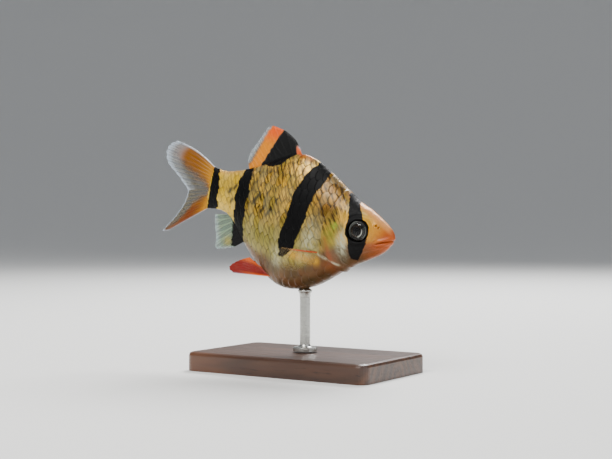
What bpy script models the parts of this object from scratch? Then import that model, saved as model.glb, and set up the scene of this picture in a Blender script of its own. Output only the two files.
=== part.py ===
"""A tiger barb, life size, nose down as it swims, on a rod over a flat wooden base.

The fish is drawn in its own frame, in millimetres: `along` runs from the tip of the snout to the root
of the tail, z is up its back and y is its left side. An empty named fish_pose then tips it nose down and
sets it over the stand, so that X runs towards the head and the stand's underside is at Z = 0.
"""

import math

import bmesh
import bpy
import numpy as np
from mathutils import Vector

MM = 0.001
GAP = 0.3  # between pieces that meet
HALF_GAP = GAP / 2
CLEAR = 30.0  # past the body on every side, for the tools that cut it

# Driving dimensions of the fish
STANDARD_LENGTH = 48.0  # snout to the root of the tail fin
NOSE_DOWN = math.radians(13.7)
SNOUT_X = 21.5  # over the stand's centre, so that the weight is above the rod
SNOUT_Z = 28.0

# Side view of the body: (along, height), from the snout to the root of the tail
BACK_LINE = (
    (0.0, 0.0), (0.4, 1.05), (1.4, 2.0), (3.7, 3.3), (6.6, 4.6), (10.2, 6.0), (13.3, 7.8),
    (17.1, 9.9), (21.5, 11.8), (25.0, 12.4), (29.0, 11.3), (33.0, 9.2), (37.0, 7.1), (41.0, 5.5),
    (44.5, 4.6), (48.0, 4.8),
)
BELLY_LINE = (
    (0.0, 0.0), (0.4, -1.3), (1.2, -2.6), (4.4, -5.3), (9.6, -9.0), (13.0, -12.0), (16.6, -14.6),
    (20.5, -16.1), (24.5, -16.4), (28.5, -15.1), (33.0, -12.3), (36.5, -9.3), (39.5, -6.3),
    (42.0, -4.7), (45.0, -4.3), (48.0, -4.8),
)
# Seen from above: (along, half of the width), and (along, height where it is widest)
HALF_WIDTH = (
    (0.0, 0.0), (0.4, 0.85), (1.5, 1.6), (4.0, 2.6), (7.0, 3.4), (11.0, 4.3), (15.0, 4.9),
    (20.0, 5.2), (25.0, 5.0), (31.0, 4.0), (37.0, 2.8), (42.0, 1.9), (45.5, 1.35), (48.0, 0.8),
)
WIDEST_LEVEL = (
    (0.0, 0.0), (2.0, -0.5), (7.0, -1.0), (14.0, -3.6), (21.0, -5.2), (28.0, -4.2), (36.0, -0.9),
    (42.0, 0.3), (48.0, 0.1),
)
# How pinched each section is above and below its widest level: 1 is an ellipse, more is a keel
CREST_PINCH = ((0.0, 1.0), (7.0, 0.95), (14.0, 1.1), (24.0, 1.3), (36.0, 1.2), (48.0, 1.0))
KEEL_PINCH = ((0.0, 1.0), (7.0, 0.95), (14.0, 0.85), (24.0, 0.8), (32.0, 1.05), (38.0, 1.15), (48.0, 1.0))

HEAD_STATIONS = 32  # rings of the body mesh up to the gill opening
HEAD_STATIONS_END = 15.5
TRUNK_STATIONS = 22  # rings behind it
RING_POINTS = 40

# Face
EYE_ALONG, EYE_Z = 7.0, 0.0
EYE_RADIUS = 2.15
EYE_DEPTH = 1.35  # half of its thickness, across the head
EYE_OUT = 2.75  # distance of its middle from the midline
ORBIT_RADIUS, ORBIT_HEIGHT, ORBIT_WIDTH = 2.65, 0.22, 0.4
MOUTH_DROP, MOUTH_SLOPE, MOUTH_END = 0.42, 0.42, 2.9
LIP_OFFSET, LIP_HEIGHT, LIP_WIDTH = 0.5, 0.24, 0.3
MOUTH_SLIT = 0.32
NOSTRIL_ALONG, NOSTRIL_Z, NOSTRIL_RADIUS = 3.5, 1.75, 0.36

# Gill opening in side view: (height, along). It parts the head from the trunk.
GILL_LINE = (
    (-14.0, 6.6), (-9.6, 9.4), (-7.9, 11.2), (-6.0, 12.9), (-2.7, 14.2), (1.0, 14.3), (4.0, 13.6),
    (9.0, 12.2), (13.0, 11.4),
)
GILL_COVER_HEIGHT, GILL_COVER_RAMP = 0.32, 2.2
# Front edge of the gill cover: (height, along), and the levels where the plate ends
COVER_FRONT = ((-7.9, 8.6), (-6.0, 9.9), (-2.7, 10.4), (1.0, 10.3), (3.0, 10.8))
COVER_TOP, COVER_BOTTOM = 2.6, -7.4
COVER_INNER = 3.0  # distance of its inner face from the midline
TAIL_STEM_START = 42.0

# Fins. Each table runs from the first ray to the last: (share of the rays, along, height) of the tips.
DORSAL_ROOTS = (25.6, 38.3)
DORSAL_RAYS = 12
DORSAL_TIPS = (
    (0.0, 27.0, 13.2), (0.09, 28.6, 14.8), (0.18, 31.4, 16.1), (0.27, 34.9, 16.6), (0.38, 36.6, 15.6),
    (0.55, 37.9, 12.9), (0.75, 39.2, 10.4), (1.0, 39.8, 8.2),
)
ANAL_ROOTS = (36.0, 41.2)
ANAL_RAYS = 8
ANAL_TIPS = (
    (0.0, 38.6, -11.4), (0.14, 40.6, -12.1), (0.28, 42.8, -12.8), (0.5, 43.6, -11.0), (0.75, 44.6, -8.2),
    (1.0, 45.2, -5.4),
)
CAUDAL_RAYS = 10  # in each lobe
CAUDAL_ROOT_HEIGHT = 4.5
UPPER_TIPS = (
    (0.0, 59.6, 8.4), (0.15, 61.3, 7.3), (0.35, 62.1, 5.2), (0.55, 61.1, 2.9), (0.75, 58.6, 1.2),
    (1.0, 54.4, -1.5),
)
LOWER_TIPS = (
    (0.0, 54.0, -2.4), (0.25, 54.7, -5.0), (0.5, 56.4, -7.8), (0.75, 58.2, -10.6), (0.9, 59.6, -12.8),
    (1.0, 57.9, -12.2),
)
LOBE_MIDDLE = -0.35  # height between the lobes at their roots
LOBE_TWIST = 1.1  # how far the tips swing aside, the upper lobe one way and the lower the other
PELVIC_RAYS = 9
PECTORAL_RAYS = 12

MEMBRANE = 0.27  # half of a fin's thickness between its rays
RAY_RIDGE = 0.16  # how far a ray stands out of it at the root
FIN_EDGE = 0.13  # half of the thickness at the tips
WEB_SHORT = 0.012  # share by which the membrane falls short of the tips of its rays
ROOT_SUNK = 0.9  # how deep a fin starts inside the body before it is trimmed

# Stand
BASE_SIZE = (44.0, 26.0, 4.0)
BASE_CORNER, BASE_CHAMFER = 2.0, 0.7
ROD_RADIUS = 1.1
ROD_FOOT_RADIUS, ROD_FOOT_HEIGHT = 2.6, 0.9
ROD_SUNK = 2.0
ROD_SIDES = 28

# (red, green, blue), roughness, metallic
FINISHES = {
    "flesh": ((0.62, 0.46, 0.2), 0.35, 0.1),
    "gill_cover": ((0.66, 0.55, 0.33), 0.28, 0.3),
    "tail_stem": ((0.64, 0.5, 0.2), 0.35, 0.1),
    "eye": ((0.05, 0.045, 0.04), 0.08, 0.0),
    "dark_fin": ((0.06, 0.05, 0.05), 0.45, 0.0),
    "orange_fin": ((0.7, 0.32, 0.1), 0.4, 0.0),
    "red_fin": ((0.6, 0.07, 0.03), 0.4, 0.0),
    "clear_fin": ((0.62, 0.66, 0.6), 0.35, 0.0),
    "walnut": ((0.16, 0.085, 0.045), 0.4, 0.0),
    "steel": ((0.62, 0.62, 0.6), 0.25, 1.0),
}


def clear_scene():
    """Removes whatever the scene holds."""
    for old in list(bpy.data.objects):
        bpy.data.objects.remove(old)


def finish_of(name):
    """A plain material from FINISHES, made once."""
    if name in bpy.data.materials:
        return bpy.data.materials[name]
    colour, roughness, metallic = FINISHES[name]
    made = bpy.data.materials.new(name)
    made.use_nodes = True
    shader = made.node_tree.nodes["Principled BSDF"]
    shader.inputs["Base Color"].default_value = (*colour, 1.0)
    shader.inputs["Roughness"].default_value = roughness
    shader.inputs["Metallic"].default_value = metallic
    return made


def spline(points, warp=lambda value: value):
    """A smooth function through (place, value) points; warp bends the places, as a square root does."""
    places = np.array([warp(point[0]) for point in points], float)
    values = np.array([point[1] for point in points], float)
    gaps = np.diff(places)
    slopes = np.diff(values) / gaps
    system = np.eye(len(points))
    turns = np.zeros(len(points))
    for k in range(1, len(points) - 1):
        system[k, k - 1 : k + 2] = gaps[k - 1], 2 * (gaps[k - 1] + gaps[k]), gaps[k]
        turns[k] = 6 * (slopes[k] - slopes[k - 1])
    bends = np.linalg.solve(system, turns)

    def read(place):
        at = np.clip(warp(np.asarray(place, float)), places[0], places[-1])
        k = np.clip(np.searchsorted(places, at) - 1, 0, len(gaps) - 1)
        left, right, gap = at - places[k], places[k + 1] - at, gaps[k]
        straight = values[k] + slopes[k] * left
        return straight - left * right / 6 * (bends[k] * (1 + right / gap) + bends[k + 1] * (1 + left / gap))

    return read


back_at = spline(BACK_LINE, np.sqrt)
belly_at = spline(BELLY_LINE, np.sqrt)
half_width_at = spline(HALF_WIDTH, np.sqrt)
widest_at = spline(WIDEST_LEVEL)
crest_pinch_at = spline(CREST_PINCH)
keel_pinch_at = spline(KEEL_PINCH)
gill_at = spline(GILL_LINE)
cover_front_at = spline(COVER_FRONT)


def ridge(distance, width):
    """A rounded ridge of height 1, as wide as `width` on each side."""
    return np.exp(-((distance / width) ** 2))


def ease(value, start, end):
    """0 before start and 1 after end, turning smoothly between."""
    share = np.clip((value - start) / (end - start), 0, 1)
    return share * share * (3 - 2 * share)


def relief(along, height):
    """How far the face stands out of the plain body: the rims of the eyes, the lips and the gill covers."""
    from_eye = np.hypot(along - EYE_ALONG, height - EYE_Z)
    orbit = ORBIT_HEIGHT * ridge(from_eye - ORBIT_RADIUS, ORBIT_WIDTH)
    from_mouth = np.abs(height + MOUTH_DROP + MOUTH_SLOPE * along)
    lips = LIP_HEIGHT * ridge(from_mouth - LIP_OFFSET, LIP_WIDTH) * (1 - ease(along, MOUTH_END - 0.9, MOUTH_END + 0.2))
    before_gill = gill_at(height) - along
    within = ease(height, -11.5, -8.0) * (1 - ease(height, 2.5, 5.0))
    cover = GILL_COVER_HEIGHT * (1 - ease(before_gill, 0.0, GILL_COVER_RAMP)) * (before_gill > 0) * within
    return orbit + lips + cover


def body_rings():
    """Points of the whole body as rings, (rings, points, 3), in the fish's frame, without the snout's tip."""
    head = HEAD_STATIONS_END * (np.arange(1, HEAD_STATIONS + 1) / HEAD_STATIONS) ** 1.35
    trunk = np.linspace(HEAD_STATIONS_END, STANDARD_LENGTH, TRUNK_STATIONS + 1)[1:]
    along = np.concatenate([head, trunk])[:, None]
    turn = np.linspace(0, 2 * math.pi, RING_POINTS, endpoint=False)[None, :]
    up, out = np.cos(turn), np.sin(turn)
    above = up > 0
    widest = widest_at(along)
    reach = np.where(above, back_at(along) - widest, widest - belly_at(along))
    pinch = np.where(above, crest_pinch_at(along), keel_pinch_at(along))
    y = np.sign(out) * half_width_at(along) * np.abs(out) ** pinch
    z = widest + up * reach
    rings = np.stack([-along + 0 * y, y, z], axis=2)
    lengthwise = np.gradient(rings, axis=0)
    around = np.roll(rings, -1, axis=1) - np.roll(rings, 1, axis=1)
    outward = np.cross(lengthwise, around)
    outward /= np.linalg.norm(outward, axis=2, keepdims=True) + 1e-9
    return rings + outward * relief(along, z)[:, :, None]


def mesh_object(name, points, faces, finish):
    """A new object from points in millimetres."""
    mesh = bpy.data.meshes.new(name)
    mesh.from_pydata([Vector(point) * MM for point in points], [], faces)
    mesh.validate()
    made = bpy.data.objects.new(name, mesh)
    bpy.context.scene.collection.objects.link(made)
    made.data.materials.append(finish_of(finish))
    return made


def whole_body():
    """The fish without its fins, as one closed mesh."""
    rings = body_rings()
    count = len(rings)
    points = [(0.0, 0.0, 0.0), *rings.reshape(-1, 3)]
    faces = [(0, 1 + k, 1 + (k + 1) % RING_POINTS) for k in range(RING_POINTS)]
    for ring in range(count - 1):
        first = 1 + ring * RING_POINTS
        for k in range(RING_POINTS):
            following = (k + 1) % RING_POINTS
            faces.append((first + k, first + RING_POINTS + k, first + RING_POINTS + following, first + following))
    last = 1 + (count - 1) * RING_POINTS
    faces.append(tuple(last + k for k in range(RING_POINTS)))
    made = mesh_object("whole_body", points, faces, "flesh")
    face_outwards(made)
    return made


def face_outwards(obj):
    """Turns every face of a closed mesh outwards and splits it into triangles."""
    work = bmesh.new()
    work.from_mesh(obj.data)
    bmesh.ops.triangulate(work, faces=work.faces)
    bmesh.ops.recalc_face_normals(work, faces=work.faces)
    work.to_mesh(obj.data)
    work.free()


def copy_of(obj, name):
    """A separate copy with a mesh of its own."""
    made = obj.copy()
    made.data = obj.data.copy()
    made.name = name
    bpy.context.scene.collection.objects.link(made)
    return made


def swollen(obj, name, distance):
    """A copy grown along its normals, in millimetres."""
    made = copy_of(obj, name)
    normals = [vertex.normal.copy() for vertex in made.data.vertices]
    for vertex, normal in zip(made.data.vertices, normals):
        vertex.co += normal * distance * MM
    return made


def carve(obj, tool, operation, keep_tool=False):
    """Applies one Boolean to obj, and removes its tool unless it is needed again."""
    step = obj.modifiers.new(operation.lower(), "BOOLEAN")
    step.operation = operation
    step.solver = "EXACT"
    step.object = tool
    bpy.context.view_layer.update()
    evaluated = obj.evaluated_get(bpy.context.evaluated_depsgraph_get())
    result = bpy.data.meshes.new_from_object(evaluated)
    obj.modifiers.clear()
    obj.data = result
    if not keep_tool:
        bpy.data.objects.remove(tool)


def prism(name, outline, low, high):
    """A closed prism from an (along, height) outline, between two distances from the midline."""
    count = len(outline)
    points = [(-along, y, z) for y in (low, high) for along, z in outline]
    faces = [tuple(range(count)), tuple(range(2 * count - 1, count - 1, -1))]
    for k in range(count):
        following = (k + 1) % count
        faces.append((k, k + count, following + count, following))
    made = mesh_object(name, points, faces, "flesh")
    face_outwards(made)
    return made


def ellipsoid(name, centre, radii, finish, segments=22, rings=12):
    """A closed ellipsoid, with its poles on the Y axis."""
    made = mesh_object(name, [], [], finish)
    work = bmesh.new()
    bmesh.ops.create_uvsphere(work, u_segments=segments, v_segments=rings, radius=1.0)
    for vertex in work.verts:
        x, y, z = vertex.co
        vertex.co = Vector((centre[0] + x * radii[0], centre[1] + z * radii[1], centre[2] + y * radii[2])) * MM
    work.to_mesh(made.data)
    work.free()
    face_outwards(made)
    return made


def gill_wall(offset, far):
    """An outline bounded by the gill opening, moved by offset, and by a far edge in front or behind."""
    heights = np.linspace(GILL_LINE[0][0], GILL_LINE[-1][0], 26)
    wall = [(float(gill_at(z)) + offset, float(z)) for z in heights]
    low, high = (wall[0][0], -CLEAR), (wall[-1][0], CLEAR)
    return [low, *wall, high, (far, CLEAR), (far, -CLEAR)]


def behind(along):
    """An outline of everything behind one place on the body."""
    far = STANDARD_LENGTH + CLEAR
    return [(along, CLEAR), (along, -CLEAR), (far, -CLEAR), (far, CLEAR)]


def cover_outline(grow):
    """Side view of a gill cover, grown by a gap, running on past the gill opening."""
    heights = np.linspace(COVER_BOTTOM - grow, COVER_TOP + grow, 14)
    front = [(float(cover_front_at(z)) - grow, float(z)) for z in heights]
    past = STANDARD_LENGTH / 2
    return [*front, (past, front[-1][1]), (past, front[0][1])]


def make_body(body):
    """Parts the whole body into head, gill covers, trunk and tail stem, with thin cuts, and opens the face."""
    head = copy_of(body, "head")
    carve(head, prism("front", gill_wall(-HALF_GAP, -CLEAR), -CLEAR, CLEAR), "INTERSECT")
    trunk = copy_of(body, "trunk")
    carve(trunk, prism("rear", gill_wall(HALF_GAP, STANDARD_LENGTH + CLEAR), -CLEAR, CLEAR), "INTERSECT")
    stem = copy_of(body, "tail_stem")
    stem.data.materials[0] = finish_of("tail_stem")
    carve(stem, prism("tail", behind(TAIL_STEM_START + HALF_GAP), -CLEAR, CLEAR), "INTERSECT")
    carve(trunk, prism("tail", behind(TAIL_STEM_START - HALF_GAP), -CLEAR, CLEAR), "DIFFERENCE")
    nodes = [head, trunk, stem]
    for side, word in ((1, "left"), (-1, "right")):
        cover = copy_of(head, f"gill_cover_{word}")
        cover.data.materials[0] = finish_of("gill_cover")
        inner, outer = sorted((side * (COVER_INNER + GAP), side * CLEAR))
        carve(cover, prism("plate", cover_outline(0.0), inner, outer), "INTERSECT")
        inner, outer = sorted((side * COVER_INNER, side * CLEAR))
        carve(head, prism("recess", cover_outline(GAP), inner, outer), "DIFFERENCE")
        nodes.append(cover)
    for side, word in ((1, "left"), (-1, "right")):
        centre = (-EYE_ALONG, side * EYE_OUT, EYE_Z)
        radii = (EYE_RADIUS, EYE_DEPTH, EYE_RADIUS)
        nodes.append(ellipsoid(f"eye_{word}", centre, radii, "eye"))
        socket = ellipsoid("socket", centre, [radius + GAP for radius in radii], "flesh")
        carve(head, socket, "DIFFERENCE")
        pit = ellipsoid("nostril", nostril_place(side), [NOSTRIL_RADIUS] * 3, "flesh", 12, 8)
        carve(head, pit, "DIFFERENCE")
    carve(head, mouth_slit(), "DIFFERENCE")
    return nodes


def nostril_place(side):
    """Where a nostril sits on the surface of the snout."""
    widest = float(widest_at(NOSTRIL_ALONG))
    share = (NOSTRIL_Z - widest) / (float(back_at(NOSTRIL_ALONG)) - widest)
    out = float(half_width_at(NOSTRIL_ALONG)) * math.sqrt(1 - share * share)
    return (-NOSTRIL_ALONG, side * out, NOSTRIL_Z)


def mouth_slit():
    """The cut between the lips, from the tip of the snout back to the corners of the mouth."""
    start, end = -1.0, MOUTH_END - 0.3
    line = [(place, -MOUTH_DROP - MOUTH_SLOPE * place) for place in (start, end)]
    half = MOUTH_SLIT / 2
    upper = [(along, z + half) for along, z in line]
    lower = [(along, z - half) for along, z in reversed(line)]
    return prism("mouth", upper + lower, -CLEAR, CLEAR)


def fin_points(roots, tips, sideways, rays, rows):
    """The fin's middle surface, (columns, rows, 3), with a column on each ray and one between each two."""
    columns = 2 * rays - 1
    share = np.linspace(0, 1, columns)
    start, end = roots(share), tips(share)
    between = (np.arange(columns) % 2)[:, None]
    end = end - (end - start) * WEB_SHORT * between
    rise = np.linspace(0, 1, rows)[None, :, None]
    return start[:, None] + (end - start)[:, None] * rise + sideways(share[:, None], rise[:, :, 0])


def fin(name, finish, middle, across):
    """A closed fin from its middle surface; across is the direction of its thickness."""
    columns, rows = middle.shape[:2]
    across = np.array(across, float) / np.linalg.norm(across)
    rise = np.linspace(0, 1, rows)[None, :]
    on_ray = (np.arange(columns) % 2 == 0)[:, None]
    half = MEMBRANE + RAY_RIDGE * on_ray * (1 - 0.6 * rise)
    half = half + (FIN_EDGE - half) * ease(rise, 0.72, 1.0)
    offset = half[:, :, None] * across
    points = np.concatenate([(middle + offset).reshape(-1, 3), (middle - offset).reshape(-1, 3)])
    other = columns * rows
    faces = []
    for c in range(columns - 1):
        for r in range(rows - 1):
            a, b = c * rows + r, (c + 1) * rows + r
            faces += [(a, b, b + 1), (a, b + 1, a + 1)]
            faces += [(other + a, other + b + 1, other + b), (other + a, other + a + 1, other + b + 1)]
    rim = [c * rows for c in range(columns)]
    rim += [(columns - 1) * rows + r for r in range(1, rows)]
    rim += [c * rows + rows - 1 for c in range(columns - 2, -1, -1)]
    rim += [r for r in range(rows - 2, 0, -1)]
    for k, a in enumerate(rim):
        b = rim[(k + 1) % len(rim)]
        faces += [(a, other + a, other + b), (a, other + b, b)]
    made = mesh_object(name, points, faces, finish)
    face_outwards(made)
    return made


def outline(table):
    """Tips of the rays in the fish's midplane, as a function of the share of the rays."""
    along = spline([(share, place) for share, place, _ in table])
    height = spline([(share, z) for share, _, z in table])
    return lambda share: np.stack([-along(share), 0 * share, height(share)], axis=-1)


def crest_roots(ends, line, sunk):
    """Roots along the back or the belly, sunk into the body."""

    def read(share):
        along = ends[0] + (ends[1] - ends[0]) * share
        return np.stack([-along, 0 * share, line(along) - sunk], axis=-1)

    return read


def sway(amount):
    """Swings a median fin aside towards its tips, in millimetres, with a gentle wave along its length."""

    def read(share, rise):
        aside = amount * rise**2 * (1 + 0.25 * np.sin(2 * math.pi * share))
        return np.stack([0 * aside, aside, 0 * aside], axis=-1)

    return read


def caudal_roots(top, bottom):
    """Roots across the end of the tail stem."""

    def read(share):
        height = top + (bottom - top) * share
        return np.stack([0 * share - STANDARD_LENGTH + ROOT_SUNK, 0 * share, height], axis=-1)

    return read


def line_between(first, last):
    """Points on a straight line, as a function of the share."""
    first, last = np.array(first, float), np.array(last, float)
    return lambda share: first + (last - first) * share[:, None]


def fan_tips(points):
    """Tips of a paired fin's rays on a smooth curve through a few (share, x, y, z) points."""
    reads = [spline([(point[0], point[k]) for point in points]) for k in (1, 2, 3)]
    return lambda share: np.stack([read(share) for read in reads], axis=-1)


def median_fins():
    """Dorsal, anal and tail fins, which stand on the midline."""
    dorsal = fin_points(
        crest_roots(DORSAL_ROOTS, back_at, ROOT_SUNK), outline(DORSAL_TIPS), sway(0.5), DORSAL_RAYS, 9
    )
    anal = fin_points(crest_roots(ANAL_ROOTS, belly_at, -ROOT_SUNK), outline(ANAL_TIPS), sway(-0.4), ANAL_RAYS, 8)
    upper = fin_points(
        caudal_roots(CAUDAL_ROOT_HEIGHT, LOBE_MIDDLE + HALF_GAP),
        outline(UPPER_TIPS), sway(-LOBE_TWIST), CAUDAL_RAYS, 11,
    )
    lower = fin_points(
        caudal_roots(LOBE_MIDDLE - HALF_GAP, -CAUDAL_ROOT_HEIGHT),
        outline(LOWER_TIPS), sway(LOBE_TWIST), CAUDAL_RAYS, 11,
    )
    sideways = (0, 1, 0)
    return [
        fin("dorsal_fin", "dark_fin", dorsal, sideways),
        fin("anal_fin", "clear_fin", anal, sideways),
        fin("tail_fin_upper_lobe", "orange_fin", upper, sideways),
        fin("tail_fin_lower_lobe", "orange_fin", lower, sideways),
    ]


def paired_fins():
    """Pectoral and pelvic fins, mirrored about the midline."""
    made = []
    for side, word in ((1, "left"), (-1, "right")):
        roots = line_between((-14.3, side * 4.2, -6.2), (-14.6, side * 3.7, -8.4))
        tips = fan_tips((
            (0.0, -21.6, side * 6.9, -7.0), (0.2, -23.0, side * 7.2, -8.1), (0.5, -22.4, side * 7.1, -10.0),
            (0.8, -20.3, side * 6.7, -11.3), (1.0, -17.9, side * 6.1, -11.2),
        ))
        middle = fin_points(roots, tips, flared(side * 0.85), PECTORAL_RAYS, 9)
        made.append(fin(f"pectoral_fin_{word}", "clear_fin", middle, (0.28, side, 0.06)))
        roots = line_between((-25.6, side * 2.3, -14.6), (-28.6, side * 2.0, -13.6))
        tips = fan_tips((
            (0.0, -35.2, side * 3.2, -16.2), (0.15, -36.3, side * 3.3, -15.6), (0.5, -34.9, side * 3.2, -13.6),
            (1.0, -32.0, side * 2.9, -11.9),
        ))
        middle = fin_points(roots, tips, cupped(side * 0.2), PELVIC_RAYS, 8)
        made.append(fin(f"pelvic_fin_{word}", "red_fin", middle, (0.1, side, 0.1)))
    return made


def flared(amount):
    """Takes a paired fin out of the body at a steep angle, and then bends it back."""

    def read(share, rise):
        out = amount * np.sin(math.pi * rise**0.6) + 0 * share
        return np.stack([0 * out, out, 0 * out], axis=-1)

    return read


def cupped(amount):
    """Bows a paired fin out between its edges."""

    def read(share, rise):
        bow = amount * np.sin(math.pi * share) * rise
        return np.stack([0 * bow, bow, 0 * bow], axis=-1)

    return read


def stand_base():
    """A flat block with rounded corners and a chamfered top edge, its underside at Z = 0."""
    made = mesh_object("stand_base", [], [], "walnut")
    work = bmesh.new()
    bmesh.ops.create_cube(work, size=1.0)
    for vertex in work.verts:
        x, y, z = vertex.co
        vertex.co = Vector((x * BASE_SIZE[0], y * BASE_SIZE[1], (z + 0.5) * BASE_SIZE[2])) * MM
    upright = [e for e in work.edges if abs(e.verts[0].co.z - e.verts[1].co.z) > MM]
    bmesh.ops.bevel(work, geom=upright, offset=BASE_CORNER * MM, segments=6, profile=0.5, affect="EDGES")
    top = [e for e in work.edges if min(v.co.z for v in e.verts) > BASE_SIZE[2] * MM - 1e-6]
    bmesh.ops.bevel(work, geom=top, offset=BASE_CHAMFER * MM, segments=2, profile=0.5, affect="EDGES")
    work.to_mesh(made.data)
    work.free()
    face_outwards(made)
    return made


def stand_rod(body_with_gap):
    """A turned rod with a flange at its foot, its top cut to the curve of the belly."""
    foot = BASE_SIZE[2] + GAP
    top = SNOUT_Z + float(belly_at(STANDARD_LENGTH / 2.4)) + ROD_SUNK + 6.0
    fillet = 0.5
    profile = [
        (ROD_FOOT_RADIUS, foot), (ROD_FOOT_RADIUS, foot + ROD_FOOT_HEIGHT - 0.25),
        (ROD_FOOT_RADIUS - 0.25, foot + ROD_FOOT_HEIGHT), (ROD_RADIUS + fillet, foot + ROD_FOOT_HEIGHT),
        (ROD_RADIUS + 0.15, foot + ROD_FOOT_HEIGHT + 0.35 * fillet), (ROD_RADIUS, foot + ROD_FOOT_HEIGHT + fillet),
        (ROD_RADIUS, top),
    ]
    angles = [2 * math.pi * k / ROD_SIDES for k in range(ROD_SIDES)]
    points = [(r * math.cos(a), r * math.sin(a), z) for r, z in profile for a in angles]
    faces = [tuple(range(ROD_SIDES)), tuple(range(len(points) - ROD_SIDES, len(points)))]
    for level in range(len(profile) - 1):
        first = level * ROD_SIDES
        for k in range(ROD_SIDES):
            following = (k + 1) % ROD_SIDES
            faces.append((first + k, first + following, first + ROD_SIDES + following, first + ROD_SIDES + k))
    made = mesh_object("stand_rod", points, faces, "steel")
    face_outwards(made)
    carve(made, body_with_gap, "DIFFERENCE", keep_tool=True)
    return made


def keep_largest(obj):
    """Leaves only the largest closed surface of a node that a cut may have left in pieces."""
    work = bmesh.new()
    work.from_mesh(obj.data)
    bmesh.ops.remove_doubles(work, verts=work.verts, dist=1e-6)
    unseen = set(work.faces)
    groups = []
    while unseen:
        group, edge_of_group = set(), [unseen.pop()]
        while edge_of_group:
            face = edge_of_group.pop()
            group.add(face)
            near = {other for edge in face.edges for other in edge.link_faces} & unseen
            unseen -= near
            edge_of_group.extend(near)
        groups.append(group)
    largest = max(groups, key=lambda group: sum(face.calc_area() for face in group))
    bmesh.ops.delete(work, geom=[face for face in work.faces if face not in largest], context="FACES")
    work.to_mesh(obj.data)
    work.free()


def main():
    """Builds the fish on its pose, then the stand under it."""
    clear_scene()
    pose = bpy.data.objects.new("fish_pose", None)
    bpy.context.scene.collection.objects.link(pose)
    pose.location = Vector((SNOUT_X, 0.0, SNOUT_Z)) * MM
    pose.rotation_euler = (0.0, NOSE_DOWN, 0.0)
    body = whole_body()
    body_with_gap = swollen(body, "body_with_gap", GAP)
    nodes = make_body(body)
    bpy.data.objects.remove(body)
    for made in median_fins() + paired_fins():
        carve(made, body_with_gap, "DIFFERENCE", keep_tool=True)
        nodes.append(made)
    for node in nodes:
        node.parent = pose
    body_with_gap.parent = pose
    nodes += [stand_rod(body_with_gap), stand_base()]
    bpy.data.objects.remove(body_with_gap)
    for node in nodes:
        keep_largest(node)
        node.data.shade_smooth()
        node.data.set_sharp_from_angle(angle=math.radians(35))


main()
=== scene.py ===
"""Looks of a tiger barb on its display stand.

The fish is drawn in its own frame, in millimetres: X runs from its tail to the tip of its snout, which is
at the origin, Y is its left side and Z is up its back. `along` is the distance from the snout towards the
tail, so along = -X. Pose turns that frame into the world's metres.
"""

import functools
import logging
import math
from collections.abc import Callable, Sequence
from dataclasses import dataclass, field
from enum import Enum

import bpy
import numpy as np
from bpy.types import Material, Node, NodeSocket, Object
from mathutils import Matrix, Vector


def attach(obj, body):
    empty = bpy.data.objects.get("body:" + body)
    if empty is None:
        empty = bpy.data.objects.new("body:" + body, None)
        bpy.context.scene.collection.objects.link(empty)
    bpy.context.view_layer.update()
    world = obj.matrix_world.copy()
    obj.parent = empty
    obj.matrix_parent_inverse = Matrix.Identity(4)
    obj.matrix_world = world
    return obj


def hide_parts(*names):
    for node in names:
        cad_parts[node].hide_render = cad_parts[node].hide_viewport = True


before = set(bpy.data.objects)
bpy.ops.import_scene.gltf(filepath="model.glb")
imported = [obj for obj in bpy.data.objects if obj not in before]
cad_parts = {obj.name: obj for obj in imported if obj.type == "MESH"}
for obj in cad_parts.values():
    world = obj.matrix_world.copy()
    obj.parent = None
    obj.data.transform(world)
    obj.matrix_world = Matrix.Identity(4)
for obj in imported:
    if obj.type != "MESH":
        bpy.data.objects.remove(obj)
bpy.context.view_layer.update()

LOG = logging.getLogger("tiger_barb")
MM = 0.001
BODY = "root"

Array = np.ndarray
Colour = tuple[float, float, float]
Points = tuple[tuple[float, ...], ...]
Reader = Callable[..., Array]
Masks = dict[str, Array | float]
Socket = NodeSocket


class Side(Enum):
    """The two sides of the fish; the value is the sign of Y."""

    LEFT = 1
    RIGHT = -1

    @property
    def word(self) -> str:
        """The side as it stands in the names of pieces."""
        return self.name.lower()

    def outward(self, faces: Array) -> Array:
        """Turns the faces of a shape made for the right side outwards on this side."""
        return faces[:, ::-1] if self is Side.LEFT else faces


def linear(colour: Colour) -> tuple[float, float, float, float]:
    """Turns a colour as seen on a screen into a shader's own linear one, with an alpha of 1."""
    red, green, blue = (c / 12.92 if c <= 0.04045 else ((c + 0.055) / 1.055) ** 2.4 for c in colour)
    return (red, green, blue, 1.0)


def root_of(place: Array) -> Array:
    """Square root, 0 below 0."""
    return np.sqrt(np.maximum(place, 0.0))


def spline(points: Sequence[Sequence[float]], warp: Reader = np.asarray) -> Reader:
    """Fits a smooth curve.

    Args:
        points: (place, value) pairs in order of place.
        warp: bends the places before fitting, as a square root does for a round end.

    Returns:
        A function of the place, held at its end values outside the points.
    """
    places = np.array([float(warp(point[0])) for point in points])
    values = np.array([point[1] for point in points], float)
    gaps = np.diff(places)
    slopes = np.diff(values) / gaps
    system = np.eye(len(points))
    turns = np.zeros(len(points))
    for k in range(1, len(points) - 1):
        system[k, k - 1 : k + 2] = gaps[k - 1], 2 * (gaps[k - 1] + gaps[k]), gaps[k]
        turns[k] = 6 * (slopes[k] - slopes[k - 1])
    bends = np.linalg.solve(system, turns)

    def read(place: Array) -> Array:
        """Reads the curve.

        Args:
            place: where.

        Returns:
            The value there.
        """
        at = np.clip(warp(np.asarray(place, float)), places[0], places[-1])
        k = np.clip(np.searchsorted(places, at) - 1, 0, len(gaps) - 1)
        left, right, gap = at - places[k], places[k + 1] - at, gaps[k]
        curve = bends[k] * (1 + right / gap) + bends[k + 1] * (1 + left / gap)
        return values[k] + slopes[k] * left - left * right / 6 * curve

    return read


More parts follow.
